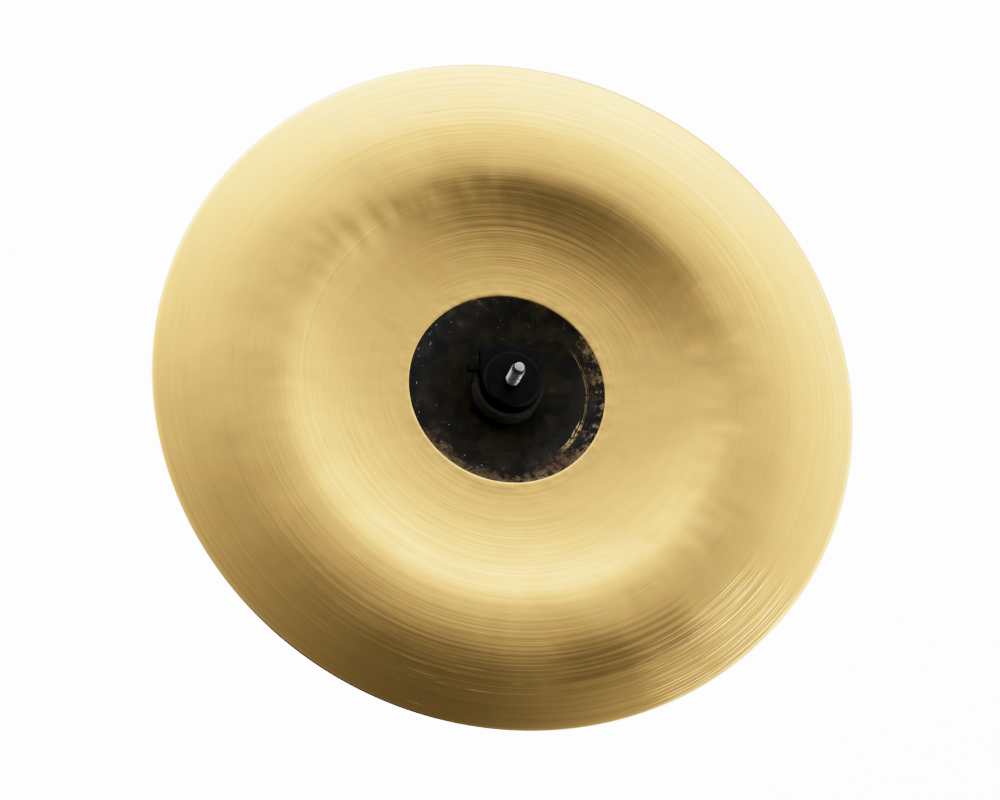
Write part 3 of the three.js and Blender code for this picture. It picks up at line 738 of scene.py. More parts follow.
def hammered_tree(groove_angle):
    """Turns the cymbal's outline about Z and dents the sheet with hammer marks."""
    net, given = new_tree("hammered", [
        ("Points", "Int"), ("Sides", "Int"), ("Bell Radius", "Float"), ("Ridge Radius", "Float"),
        ("Mark Size", "Float"), ("Mark Depth", "Float"), ("Bell Mark Size", "Float"),
        ("Bell Mark Depth", "Float"), ("Bow Finish", "Material"), ("Back Finish", "Material"),
        ("Bell Finish", "Material")])
    grid, column, angle = swept_grid(net, given)
    place = sampled(net, given, net.add("GeometryNodeInputPosition"), "FLOAT_VECTOR", column)
    radius, _, level = net.split(place)
    across = angle.math("COSINE")
    along = angle.math("SINE")
    x = radius * across
    y = radius * along
    flat = net.join(x, y, 0.0)

    bell_radius, ridge_radius, mark_size = given["Bell Radius"], given["Ridge Radius"], given["Mark Size"]
    bow = net.fade(radius, bell_radius, bell_radius + 12 * MM)
    rim = net.fade(radius, ridge_radius + 20 * MM, ridge_radius + 62 * MM, 1.0, 0.0)
    ridge = net.band(radius, ridge_radius - 12 * MM, 16 * MM, 9 * MM)
    aside = net.fade(abs(facing(across, along, groove_angle)), 0.5, 0.95, 1.0, 0.2)

    marks_round = ridge_radius / mark_size
    spokes = net.join(across * marks_round, along * marks_round, radius / (3 * mark_size))
    sectors = net.join(across * 2.2, along * 2.2, radius / (2 * mark_size))
    busy = net.fade(net.noise(sectors, 1.0, 1.0), 0.42, 0.6, 0.1, 1.0)
    strokes = (net.noise(spokes, 1.0, 1.0) - 0.5) * busy
    marks = net.noise(flat, 1.0 / mark_size, 1.0) - 0.5
    wide = net.noise(flat, 0.25 / mark_size, 1.0) - 0.5
    dents = net.fade(net.cells(spokes, 0.8, "Distance"), 0.0, 0.5, 1.0, 0.0)
    dents = dents * net.fade(net.split(net.cells(spokes, 0.8, "Color"))[0], 0.5, 0.9)
    lift = 0.4 * marks + aside * strokes * (0.3 + 1.2 * ridge) + 2.0 * wide
    lift = lift - aside * dents * (0.1 + 0.35 * ridge)
    lift = bow * rim * given["Mark Depth"] * lift

    bell = net.noise(flat, 1.0 / given["Bell Mark Size"], 2.0) - 0.5
    lift = lift + (1 - bow) * given["Bell Mark Depth"] * bell * net.fade(radius, 20 * MM, 26 * MM)
    shape = net.add("GeometryNodeSetPosition", sockets={
        "Geometry": grid, "Position": net.join(x, y, level + lift)})
    shape = net.add("GeometryNodeMergeByDistance", sockets={"Geometry": shape, "Distance": MERGE_DISTANCE})

    x, y, _ = net.split(net.add("GeometryNodeInputPosition"))
    inside = net.add("FunctionNodeCompare", {"operation": "LESS_THAN"}, {"A": reach(x, y), "B": bell_radius})
    level_facing = net.split(net.add("GeometryNodeInputNormal"))[2]
    under = net.add("FunctionNodeCompare", {"operation": "LESS_THAN"}, {"A": level_facing, "B": 0.0})
    return close_tree(net, shape, [
        (given["Bow Finish"], None), (given["Back Finish"], under), (given["Bell Finish"], inside)])


def outline_mesh(points, threads=None):
    """A chain of points in the XZ plane, with how deep the thread is at each."""
    mesh = bpy.data.meshes.new("outline")
    links = [(i, i + 1) for i in range(len(points) - 1)]
    mesh.from_pydata([(radius, 0.0, level) for radius, level in points], links, [])
    mask = mesh.attributes.new("thread", "FLOAT", "POINT")
    mask.data.foreach_set("value", threads if threads is not None else [0.0] * len(points))
    return mesh


def rounded(points, size, steps=4, closed=True):
    """An outline with its corners rounded to a size, or to nearly half of a shorter side."""
    places = [Vector(point) for point in points]
    count = len(places)
    made = []
    for i, corner in enumerate(places):
        if not closed and i in (0, count - 1):
            made.append(tuple(corner))
            continue
        before = places[i - 1] - corner
        after = places[(i + 1) % count] - corner
        cut = min(size, before.length * 0.48, after.length * 0.48)
        start = corner + before.normalized() * cut
        end = corner + after.normalized() * cut
        for k in range(steps + 1):
            share = k / steps
            made.append(tuple(start.lerp(corner, share).lerp(corner.lerp(end, share), share)))
    return made + made[:1] if closed else made


def turned(name, points, material, tree, threads=None, sides=SIDES, pitch=1.0, depth=0.0):
    """The mesh of an outline turned about Z."""
    values = {"Points": len(points), "Sides": sides, "Pitch": pitch, "Depth": depth, "Finish": material}
    return smooth(grown(name, outline_mesh(points, threads), tree, values))


def along_x(mesh, height):
    """Lays a mesh made about Z along +X, at a height."""
    mesh.transform(Matrix.Translation((0, 0, height)) @ Matrix.Rotation(math.pi / 2, 4, "Y"))
    return mesh


def along_minus_y(mesh, height):
    """Lays a mesh made about Z along -Y, at a height."""
    mesh.transform(Matrix.Translation((0, 0, height)) @ Matrix.Rotation(math.pi / 2, 4, "X"))
    return mesh


def plate(outline, low, high):
    """A flat plate with an outline, from one level to another."""
    shape = bmesh.new()
    foot = shape.faces.new([shape.verts.new((x, y, low)) for x, y in outline])
    raised = bmesh.ops.extrude_face_region(shape, geom=[foot])["geom"]
    tops = [item for item in raised if isinstance(item, bmesh.types.BMVert)]
    bmesh.ops.translate(shape, verts=tops, vec=(0, 0, high - low))
    return mesh_of(shape, "plate")


def circle(radius, sides=SIDES):
    """Corners of a regular outline round the origin."""
    turns = [FULL_TURN * i / sides for i in range(sides)]
    return [(radius * math.cos(turn), radius * math.sin(turn)) for turn in turns]


def rod(radius, low, high, sides=SIDES):
    """A round bar along Z, from one level to another."""
    return plate(circle(radius, sides), low, high)


def block(low, high):
    """A box between two corners."""
    outline = [(low[0], low[1]), (high[0], low[1]), (high[0], high[1]), (low[0], high[1])]
    return plate(outline, low[2], high[2])


def carved(solids, cuts, edge=0.0, voxel=0.0, smoothing=0):
    """Joins solids, cuts others out and finishes the edges, with cast corners where a voxel is given."""
    base = piece("carved", solids[0])
    helpers = []
    jobs = [("UNION", solid) for solid in solids[1:]] + [("DIFFERENCE", cut) for cut in cuts]
    for operation, mesh in jobs:
        helper = piece("helper", mesh)
        helpers.append(helper)
        job = base.modifiers.new("job", "BOOLEAN")
        job.operation = operation
        job.solver = "EXACT"
        job.object = helper
    if voxel:
        remesh = base.modifiers.new("remesh", "REMESH")
        remesh.mode = "VOXEL"
        remesh.voxel_size = voxel
        soften = base.modifiers.new("soften", "SMOOTH")
        soften.factor = 0.5
        soften.iterations = smoothing
    elif edge:
        bevel = base.modifiers.new("edges", "BEVEL")
        bevel.width = edge
        bevel.segments = 3
        bevel.limit_method = "ANGLE"
        bevel.angle_limit = math.radians(32)
        bevel.harden_normals = False
    mesh = plain_mesh(base)
    for helper in helpers + [base]:
        bpy.data.objects.remove(helper)
    return mesh


def joined(meshes):
    """Several meshes in one, each as it was."""
    shape = bmesh.new()
    for mesh in meshes:
        shape.from_mesh(mesh)
    whole = bpy.data.meshes.new("joined")
    shape.to_mesh(whole)
    shape.free()
    return whole


def put(name, mesh, material, body, slot, *nodes):
    """Makes a finished piece that rides on a body and stands for CAD nodes; the slot it is given is not
    used.
    """
    made = piece(name, mesh, material)
    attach(made, body)
    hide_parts(*nodes)
    return made


def hex_nut(across_flats, bore, low, high, bevel):
    """A hexagonal nut whose corners are turned off at both ends, with a countersunk hole."""
    sides = 96
    half = across_flats / 2
    shape = bmesh.new()
    rows = []
    for turn in [FULL_TURN * i / sides for i in range(sides)]:
        corner = half / math.cos((turn + math.pi / 6) % (math.pi / 3) - math.pi / 6)
        drop = max(corner - half, 0.0) * math.tan(math.radians(30)) + bevel / 4
        outline = [
            (bore, low + bevel), (bore + bevel, low), (half - bevel / 2, low), (corner, low + drop),
            (corner, high - drop), (half - bevel / 2, high), (bore + bevel, high), (bore, high - bevel)]
        rows.append([shape.verts.new((r * math.cos(turn), r * math.sin(turn), z)) for r, z in outline])
    for i, row in enumerate(rows):
        following = rows[(i + 1) % sides]
        for k in range(len(row)):
            j = (k + 1) % len(row)
            shape.faces.new((row[k], row[j], following[j], following[k]))
    return smooth(mesh_of(shape, "hex_nut"), math.radians(20))


SHEET_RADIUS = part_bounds("cymbal")[1].x
RIM_BOX = part_box("cymbal", lambda p: np.hypot(p[:, 0], p[:, 1]) > SHEET_RADIUS - 0.7 * MM)


class CymbalLook(bpy.types.PropertyGroup):
    """Sizes and colours of the cymbal."""

    bell_radius: bpy.props.FloatProperty(
        name="Bell radius", description="Where the dark bell ends", default=57 * MM, subtype="DISTANCE")
    ridge_radius: bpy.props.FloatProperty(
        name="Ridge radius", description="Radius of the rounded ridge",
        default=140 * MM, subtype="DISTANCE")
    rim_radius: bpy.props.FloatProperty(
        name="Rim radius", description="Half the cymbal's width",
        default=SHEET_RADIUS, subtype="DISTANCE")
    groove_pitch: bpy.props.FloatProperty(
        name="Groove pitch", description="Spacing of the lathe's fine grooves",
        default=1.0 * MM, subtype="DISTANCE")
    groove_depth: bpy.props.FloatProperty(
        name="Groove depth", description="Depth of the lathe's grooves",
        default=0.034 * MM, subtype="DISTANCE", precision=6)
    polish: bpy.props.FloatProperty(
        name="Polish", description="Roughness of the cleanest bronze", default=0.05)
    step_radius: bpy.props.FloatProperty(
        name="Step radius", description="Where the lathe tool left a thin step inside the ridge",
        default=119.5 * MM, subtype="DISTANCE")
    step_angle: bpy.props.FloatProperty(
        name="Step angle", description="Where round the cymbal the step shows",
        default=math.radians(147), subtype="ANGLE")
    groove_angle: bpy.props.FloatProperty(
        name="Groove angle", description="Where round the cymbal, and opposite, the grooves are deepest",
        default=math.radians(61.6), subtype="ANGLE")
    worn_share: bpy.props.FloatProperty(
        name="Worn share", description="Share of the grooves' depth left where hands have rubbed them",
        default=0.28)
    rim_level: bpy.props.FloatProperty(
        name="Rim level", description="Lowest point of the rim's edge",
        default=RIM_BOX[0].z, subtype="DISTANCE")
    mark_size: bpy.props.FloatProperty(
        name="Hammer mark size", description="Width of a hammer mark",
        default=14 * MM, subtype="DISTANCE")
    mark_depth: bpy.props.FloatProperty(
        name="Hammer mark depth", description="Depth of a hammer mark",
        default=0.3 * MM, subtype="DISTANCE")
    bell_mark_size: bpy.props.FloatProperty(
        name="Bell mark size", description="Width of a hammer mark on the bell",
        default=9 * MM, subtype="DISTANCE")
    bell_mark_depth: bpy.props.FloatProperty(
        name="Bell mark depth", description="Depth of a hammer mark on the bell",
        default=0.5 * MM, subtype="DISTANCE")
    facet_lean: bpy.props.FloatProperty(
        name="Facet lean", description="How far the hammer's facets lean, as a slope", default=0.03)
    # Painted shade: the direction of the darkened band near the rim.
    shade_band_angle: bpy.props.FloatProperty(
        name="Smear angle", description="Where round the cymbal a dark smear lies near the rim",
        default=math.radians(-68), subtype="ANGLE")
    streak_angle: bpy.props.FloatProperty(
        name="Streak angle", description="Where round the cymbal the rings near the rim are cut deeper",
        default=math.radians(-52), subtype="ANGLE")
    # Painted shade: where round the cymbal the rim's face is darkened as well.
    rim_shade_angle: bpy.props.FloatProperty(
        name="Dark edge angle", description="Where round the cymbal the rim's edge is dark on its face",
        default=math.radians(-118), subtype="ANGLE")
    # The radius and direction of the bright lines along the bell's edge.
    arc_radius: bpy.props.FloatProperty(
        name="Scrape radius", description="Radius of the bright scrape in the bell",
        default=47 * MM, subtype="DISTANCE")
    arc_angle: bpy.props.FloatProperty(
        name="Scrape angle", description="Where round the bell the scrape lies",
        default=math.radians(-7), subtype="ANGLE")
    bronze: bpy.props.FloatVectorProperty(
        name="Bronze", description="Lathed bronze", default=(0.90, 0.555, 0.172), subtype="COLOR")
    bronze_shade: bpy.props.FloatVectorProperty(
        name="Groove bronze", description="Bronze in the grooves",
        default=(0.83, 0.505, 0.15), subtype="COLOR")
    bronze_warm: bpy.props.FloatVectorProperty(
        name="Warm bronze", description="Slightly tarnished bronze",
        default=(0.84, 0.50, 0.155), subtype="COLOR")
    bronze_green: bpy.props.FloatVectorProperty(
        name="Green bronze", description="Bronze under faint greenish smudges",
        default=(0.80, 0.525, 0.175), subtype="COLOR")
    bronze_stained: bpy.props.FloatVectorProperty(
        name="Stained bronze", description="Tarnish on the cymbal's back",
        default=(0.40, 0.225, 0.07), subtype="COLOR")
    # Painted shade: the dark tone laid over the rim's edge.
    rim_shade_tone: bpy.props.FloatVectorProperty(
        name="Rim bronze", description="Bronze at the rim's edge",
        default=(0.08, 0.025, 0.015), subtype="COLOR")
    patina: bpy.props.FloatVectorProperty(
        name="Patina", description="Dark skin of the raw bell",
        default=(0.0057, 0.0049, 0.0029), subtype="COLOR")
    patina_brown: bpy.props.FloatVectorProperty(
        name="Brown patina", description="Browner skin of the bell",
        default=(0.0128, 0.0100, 0.0050), subtype="COLOR")
    patina_bare: bpy.props.FloatVectorProperty(
        name="Bare patina", description="Bell where its skin is thin",
        default=(0.05, 0.028, 0.011), subtype="COLOR")
    patina_wiped: bpy.props.FloatVectorProperty(
        name="Wiped patina", description="Bell where its skin is rubbed",
        default=(0.16, 0.108, 0.044), subtype="COLOR")
    patina_red: bpy.props.FloatVectorProperty(
        name="Red patina", description="Redder places where the skin is rubbed",
        default=(0.085, 0.038, 0.017), subtype="COLOR")
    fleck: bpy.props.FloatVectorProperty(
        name="Fleck", description="Pale flecks on the bell", default=(0.5, 0.5, 0.45), subtype="COLOR")


class FittingsLook(bpy.types.PropertyGroup):
    """Sizes and colours of the felts, the nut and the tilter."""

    edge: bpy.props.FloatProperty(
        name="Edge rounding", description="Rounding of plastic and steel edges",
        default=0.35 * MM, subtype="DISTANCE")
    stud_pitch: bpy.props.FloatProperty(
        name="Thread pitch", description="Pitch of the 8 mm threads", default=1.25 * MM, subtype="DISTANCE")
    thread_depth: bpy.props.FloatProperty(
        name="Thread depth", description="Depth of the 8 mm threads", default=0.6 * MM, subtype="DISTANCE")
    screw_pitch: bpy.props.FloatProperty(
        name="Screw pitch", description="Pitch of the 6 mm thread", default=1.0 * MM, subtype="DISTANCE")
    felt_edge: bpy.props.FloatProperty(
        name="Felt edge", description="Rounding of the felts' edges", default=1.1 * MM, subtype="DISTANCE")
    felt_swell: bpy.props.FloatProperty(
        name="Felt swell", description="How far the felts' lumps stand out",
        default=0.35 * MM, subtype="DISTANCE")
    fibre_density: bpy.props.FloatProperty(
        name="Fibre density", description="Loose fibres to a square metre of felt", default=450000.0)
    fibre_length: bpy.props.FloatProperty(
        name="Fibre length", description="Length of a loose fibre", default=1.1 * MM, subtype="DISTANCE")
    fibre_radius: bpy.props.FloatProperty(
        name="Fibre radius", description="Half the width of a loose fibre at its root",
        default=0.035 * MM, subtype="DISTANCE", precision=6)
    neck_half_width: bpy.props.FloatProperty(
        name="Neck half width", description="Half the width of the tilter's two necks",
        default=9 * MM, subtype="DISTANCE")
    neck_sunk: bpy.props.FloatProperty(
        name="Neck sunk", description="How far a neck and its boss or socket run into each other",
        default=0.8 * MM, subtype="DISTANCE")
    nut_bevel: bpy.props.FloatProperty(
        name="Nut bevel", description="Countersink of the steel nuts' holes",
        default=0.5 * MM, subtype="DISTANCE")
    nut_corner: bpy.props.FloatProperty(
        name="Nut corner", description="Rounding of the nut's two corners",
        default=2.2 * MM, subtype="DISTANCE")
    chrome: bpy.props.FloatVectorProperty(
        name="Chrome", description="Chrome plate", default=(0.55, 0.56, 0.57), subtype="COLOR")
    steel: bpy.props.FloatVectorProperty(
        name="Steel", description="Zinc-plated steel", default=(0.50, 0.50, 0.48), subtype="COLOR")
    brass: bpy.props.FloatVectorProperty(
        name="Brass", description="Machined brass", default=(0.62, 0.43, 0.16), subtype="COLOR")
    plastic: bpy.props.FloatVectorProperty(
        name="Plastic", description="Moulded plastic", default=(0.0022, 0.0019, 0.0014), subtype="COLOR")
    nylon: bpy.props.FloatVectorProperty(
        name="Nylon", description="Extruded nylon", default=(0.012, 0.012, 0.012), subtype="COLOR")
    fibre: bpy.props.FloatVectorProperty(
        name="Fibre", description="Friction disc", default=(0.13, 0.055, 0.022), subtype="COLOR")
    grey_felt: bpy.props.FloatVectorProperty(
        name="Grey felt", description="Grey wool felt", default=(0.0135, 0.012, 0.0078), subtype="COLOR")
    black_felt: bpy.props.FloatVectorProperty(
        name="Black felt", description="Black wool felt", default=(0.0032, 0.0029, 0.0019), subtype="COLOR")


class StageLook(bpy.types.PropertyGroup):
    """The floor, the light and the camera."""

    azimuth: bpy.props.FloatProperty(
        name="Azimuth", description="Camera's turn about Z", default=math.radians(-28.4), subtype="ANGLE")
    elevation: bpy.props.FloatProperty(
        name="Elevation", description="Camera's height above the horizon",
        default=math.radians(65.3), subtype="ANGLE")
    roll: bpy.props.FloatProperty(
        name="Roll", description="Camera's turn about its view", default=math.radians(29.2), subtype="ANGLE")
    distance: bpy.props.FloatProperty(
        name="Distance", description="From the camera to the nut", default=2.5, subtype="DISTANCE")
    seen_width: bpy.props.FloatProperty(
        name="Seen width", description="Width of the view at the nut", default=0.5687, subtype="DISTANCE")
    aim_right: bpy.props.FloatProperty(
        name="Aim right", description="How far the view's middle lies right of the stud",
        default=-3.4 * MM, subtype="DISTANCE")
    aim_up: bpy.props.FloatProperty(
        name="Aim up", description="How far the view's middle lies above the stud",
        default=-5.0 * MM, subtype="DISTANCE")
    floor_drop: bpy.props.FloatProperty(
        name="Floor drop", description="Floor's depth below the socket", default=0.45, subtype="DISTANCE")
    aim_height: bpy.props.FloatProperty(
        name="Aim height", description="Height above the socket that the camera aims at",
        default=110 * MM, subtype="DISTANCE")
    floor_radius: bpy.props.FloatProperty(
        name="Floor radius", description="Radius of the floor", default=6.0, subtype="DISTANCE")
    floor_tone: bpy.props.FloatVectorProperty(
        name="Floor tone", description="Colour of the floor", default=(0.86, 0.845, 0.80), subtype="COLOR")
    # Painted shade: the floor's darker tone away from the object.
    floor_far_shade: bpy.props.FloatVectorProperty(
        name="Far floor", description="Colour of the floor away from the object",
        default=(0.38, 0.362, 0.32), subtype="COLOR")
    floor_glow: bpy.props.FloatProperty(
        name="Floor glow", description="Light that the floor gives by itself", default=2.4)
    low_glow: bpy.props.FloatProperty(
        name="Low glow", description="Light from near the horizon", default=0.7)
    low_behind: bpy.props.FloatProperty(
        name="Low light behind", description="Share of the low light that is left behind the camera",
        default=0.12)
    box_glow: bpy.props.FloatProperty(
        name="Box glow", description="Further light from the boxes at both flanks", default=1.3)
    cool_highlights: bpy.props.FloatProperty(
        name="Cool highlights", description="Further blue in the brightest light", default=1.4)
    film_white: bpy.props.FloatProperty(
        name="Film white", description="Light that the film shows as white", default=4.0)
    film_black: bpy.props.FloatProperty(
        name="Film black", description="Light that the film still shows as black", default=0.003)


def looks():
    """The scene's three groups of sizes and colours."""
    scene = bpy.context.scene
    return scene.cymbal_look, scene.fittings_look, scene.stage_look


def view_axes(look):
    """The camera's three axes: right and up in its picture, and back towards it."""
    side = Vector((math.sin(look.azimuth), -math.cos(look.azimuth), 0))
    back = side * math.cos(look.elevation) + Vector((0, 0, math.sin(look.elevation)))
    right = (-side).cross(Vector((0, 0, 1)))
    up = back.cross(right)
    turn = Matrix.Rotation(look.roll, 3, back)
    return turn @ right, turn @ up, back


def studio_light(look):
    """A soft surround: dim overhead and behind the camera, bright on the far side and at both flanks."""
    world = bpy.data.worlds.new("studio")
    bpy.context.scene.world = world
    world.use_nodes = True
    net = Net(world.node_tree)
    aim = net.add("ShaderNodeTexCoord")["Generated"]
    far = Vector((-math.sin(look.azimuth), math.cos(look.azimuth), 0))
    flank = far.cross(Vector((0, 0, 1)))
    dot = {"operation": "DOT_PRODUCT"}
    ahead = net.add("ShaderNodeVectorMath", dot, {0: aim, 1: far})["Value"]
    aside = net.add("ShaderNodeVectorMath", dot, {0: aim, 1: flank})["Value"]
    front = ahead.math("MAXIMUM", 0.0)
    behind = (0 - ahead).math("MAXIMUM", 0.0)
    left_from = 0.105
    right_from = 0.156
    left = (left_from - aside).math("MAXIMUM", 0.0)
    right = (aside - right_from).math("MAXIMUM", 0.0)

    # Overhead, brighter towards the far side and a little behind, and then towards both flanks.
    high = 0.122 + 0.38 * front + 3.45 * front * front + net.fade(front, 0.15, 0.31, 0.0, 0.22)
    high = high + 1.2 * behind * behind
    high = high + 3.9 * left * left + 9.0 * right * right
    high = (high * net.fade(behind, 0.3, 0.6, 1.0, look.low_behind)).math("MINIMUM", look.film_white)

    # Near the horizon, with a soft box at each flank and one behind the camera.
    rise = net.split(aim)[2]
    boxes = net.fade(abs(aside), 0.55, 0.9, 0.0, look.box_glow) + net.fade(behind, 0.8, 0.95, 0.0, 0.5)
    low = net.fade(rise, -0.3, 0.3, look.low_glow * 0.6, look.low_glow) + boxes * net.fade(rise, -0.1, 0.1)
    low = low * net.fade(behind, 0.2, 0.75, 1.0, look.low_behind)
    share = net.fade(rise, 0.35, 0.58)
    light = high * share + low * (1 - share)

    # Dim light is warm and the brightest light is cool.
    green = net.fade(light, 0.1, 1.4, 0.93, 0.97) + net.fade(light, 1.5, 4.0, 0.0, 0.35)
    blue = net.fade(light, 0.1, 1.4, 0.8, 0.99) + net.fade(light, 1.7, 4.0, 0.0, look.cool_highlights)
    glow = net.add("ShaderNodeBackground", sockets={"Color": net.join(1.0, green, blue), "Strength": light})
    net.add("ShaderNodeOutputWorld", sockets={"Surface": glow})


def film(look):
    """A film that rolls off softly: what it shows is one less the exponent of the light."""
    view = bpy.context.scene.view_settings
    view.view_transform = "Standard"
    view.use_curve_mapping = True
    curves = view.curve_mapping
    curves.white_level = (look.film_white,) * 3
    curves.black_level = (look.film_black,) * 3
    curve = curves.curves[3]
    light_shares = [
        0.0, 0.006, 0.0125, 0.025, 0.05, 0.08, 0.12, 0.17, 0.23, 0.3, 0.38, 0.48, 0.6, 0.75, 0.9, 1.0]
    while len(curve.points) < len(light_shares):
        curve.points.new(0.5, 0.5)
    whole = 1 - math.exp(-look.film_white)
    for point, share in zip(curve.points, light_shares):
        point.location = (share, (1 - math.exp(-look.film_white * share)) / whole)
    curves.update()


class CYMBAL_OT_stage(bpy.types.Operator):
    """Make the floor, the soft light, the film and the camera"""

    bl_idname = "cymbal.stage"
    bl_label = "Stage"

    def execute(self, context):
        look = context.scene.stage_look
        right, up, back = view_axes(look)
        lens = bpy.data.cameras.new("camera")
        lens.sensor_width = 36.0
        lens.lens = lens.sensor_width * look.distance / look.seen_width
        lens.clip_end = 50.0
        camera = bpy.data.objects.new("camera", lens)
        context.scene.collection.objects.link(camera)
        middle = Vector((0, 0, look.aim_height)) + right * look.aim_right + up * look.aim_up
        camera.matrix_world = Matrix.Translation(middle + back * look.distance) @ Matrix(
            (right, up, back)).transposed().to_4x4()
        context.scene.camera = camera
        sheet = bpy.data.meshes.new("floor")
        corners = circle(look.floor_radius)
        sheet.from_pydata([(x, y, -look.floor_drop) for x, y in corners], [], [list(range(len(corners)))])
        floor = piece("floor", sheet, pale_floor(look))
        studio_light(look)
        film(look)
        return {"FINISHED"}


def cymbal_chains():
    """The CAD sheet's outline as two chains of points, its face and its back, from hole to rim."""
    points = node_points("cymbal")
    chosen = points[(abs(points[:, 1]) < 0.01 * MM) & (points[:, 0] > 0)][:, (0, 2)]
    chosen = np.unique(np.round(chosen, 6), axis=0)
    face, back = [], []
    for radius, level in chosen:
        near = chosen[abs(chosen[:, 0] - radius) < 1.2 * MM]
        covered = (near[:, 1] > level + 0.5 * MM).any()
        (back if covered else face).append((radius, level))
    return np.array(sorted(face)), np.array(sorted(back))


def smooth_chain(chain, radii):
    """Levels at the given radii, from a chain's slopes, so that its facets run smoothly into each other."""
    places, levels = chain[:, 0], chain[:, 1]
    inner, outer = places[0], places[-1]
    middles = (places[1:] + places[:-1]) / 2
    slopes = np.diff(levels) / np.diff(places)
    first = slopes[0] - (slopes[1] - slopes[0]) * (middles[0] - inner) / (middles[1] - middles[0])
    last = slopes[-1] + (slopes[-1] - slopes[-2]) * (outer - middles[-1]) / (middles[-1] - middles[-2])
    knots = np.concatenate([[inner], middles, [outer]])
    values = np.concatenate([[first], slopes, [last]])
    fine = np.linspace(inner, outer, 4000)
    rises = np.interp((fine[1:] + fine[:-1]) / 2, knots, values) * np.diff(fine)
    made = np.concatenate([[0.0], np.cumsum(rises)]) + levels[0]
    made += (levels[-1] - made[-1]) * (fine - fine[0]) / (fine[-1] - fine[0])
    return np.interp(radii, fine, made)


def sheet_side(chain, bell_radius, bell_rows, bow_rows):
    """One side of the sheet, with the bell and the bow each smooth in themselves."""
    bell = chain[chain[:, 0] < bell_radius + 1 * MM]
    bow = chain[chain[:, 0] > bell_radius - 1 * MM]
    bell_radii = np.linspace(bell[0, 0], bell[-1, 0], bell_rows)
    bow_radii = np.linspace(bow[0, 0], bow[-1, 0], bow_rows)
    side = list(zip(bell_radii, smooth_chain(bell, bell_radii)))
    return side + list(zip(bow_radii, smooth_chain(bow, bow_radii)))[1:]


class CYMBAL_OT_cymbal(bpy.types.Operator):
    """Turn, hammer and lathe the bronze sheet"""

    bl_idname = "cymbal.cymbal"
    bl_label = "Cymbal"

    def execute(self, context):
        look = context.scene.cymbal_look
        face_chain, back_chain = cymbal_chains()
        face = sheet_side(face_chain, look.bell_radius, bell_rows=28, bow_rows=108)
        back = sheet_side(back_chain, look.bell_radius, bell_rows=16, bow_rows=60)
        (rim_radius, top), (_, bottom) = face[-1], back[-1]
        half = (top - bottom) / 2
        turns = [math.pi / 2 - math.pi * i / 6 for i in range(1, 6)]
        rim = [
            (rim_radius - half * (1 - math.cos(turn)), bottom + half + half * math.sin(turn))
            for turn in turns]
        face[-1] = (rim_radius - half, top)
        back[-1] = (rim_radius - half, bottom)
        points = face + rim + back[::-1] + face[:1]
        tree = hammered_tree(look.groove_angle)
        mesh = grown("cymbal_sheet", outline_mesh(points), tree, {
            "Points": len(points), "Sides": 420, "Bell Radius": look.bell_radius,
            "Ridge Radius": look.ridge_radius, "Mark Size": look.mark_size,
            "Mark Depth": look.mark_depth, "Bell Mark Size": look.bell_mark_size,
            "Bell Mark Depth": look.bell_mark_depth,
            "Bow Finish": lathed_bronze(look, "lathed_bronze"),
            "Back Finish": lathed_bronze(look, "stained_bronze", back=True),
            "Bell Finish": raw_bell(look)})
        put("cymbal_sheet", smooth(mesh, math.radians(60)), None, "plate", "bronze", "cymbal")
        return {"FINISHED"}


class CYMBAL_OT_felts(bpy.types.Operator):
    """Make the three felts, matted and with loose fibres"""

    bl_idname = "cymbal.felts"
    bl_label = "Felts"

    def execute(self, context):
        look = context.scene.fittings_look
        turn, matt = turned_tree(), felt_tree()
        grey = felted("grey_felt", look.grey_felt, [2.0 * part for part in look.grey_felt])
        black = felted("black_felt", look.black_felt, [1.8 * part for part in look.black_felt])
        jobs = [
            ("lower_felt", grey, "grey_felt", ("felts", "plate"), 3),
            ("bell_felt", black, "black_felt", ("plate", "felts"), 5),
            ("top_felt", grey, "grey_felt", None, 7),
        ]
        for node, finish, slot, bodies, seed in jobs:
            outline = rounded(self.outline(node), look.felt_edge)
            pad = turned(node, outline, finish, turn, sides=120)
            mesh = grown(node, pad, matt, {
                "Swell": look.felt_swell, "Fibres": look.fibre_density,
                "Fibre Length": look.fibre_length, "Fibre Radius": look.fibre_radius,
                "Seed": seed, "Finish": finish})
            made = piece(node + "_pad", smooth(mesh, math.radians(75)), finish)
            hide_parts(node)
            if bodies:
                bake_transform(made)
            else:
                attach(made, "felts")
        return {"FINISHED"}

    @staticmethod
    def outline(node):
        """Points round the section of a CAD felt: outwards along its underside and back along its top."""
        points = node_points(node)
        radii = np.hypot(points[:, 0], points[:, 1])
        inner, outer = radii.min(), radii.max()
        rows = np.linspace(inner, outer - 0.02 * MM, 9)
        sides = []
        for furthest in (np.min, np.max):
            near = [abs(radii - row) < (outer - inner) * 0.3 for row in rows]
            fit = np.polyfit(rows, [furthest(points[chosen, 2]) for chosen in near], 2)
            shift = furthest(points[radii < inner + 0.05 * MM, 2]) - np.polyval(fit, inner)
            sides.append([(row, np.polyval(fit, row) + shift) for row in rows])
        return sides[0] + sides[1][::-1]


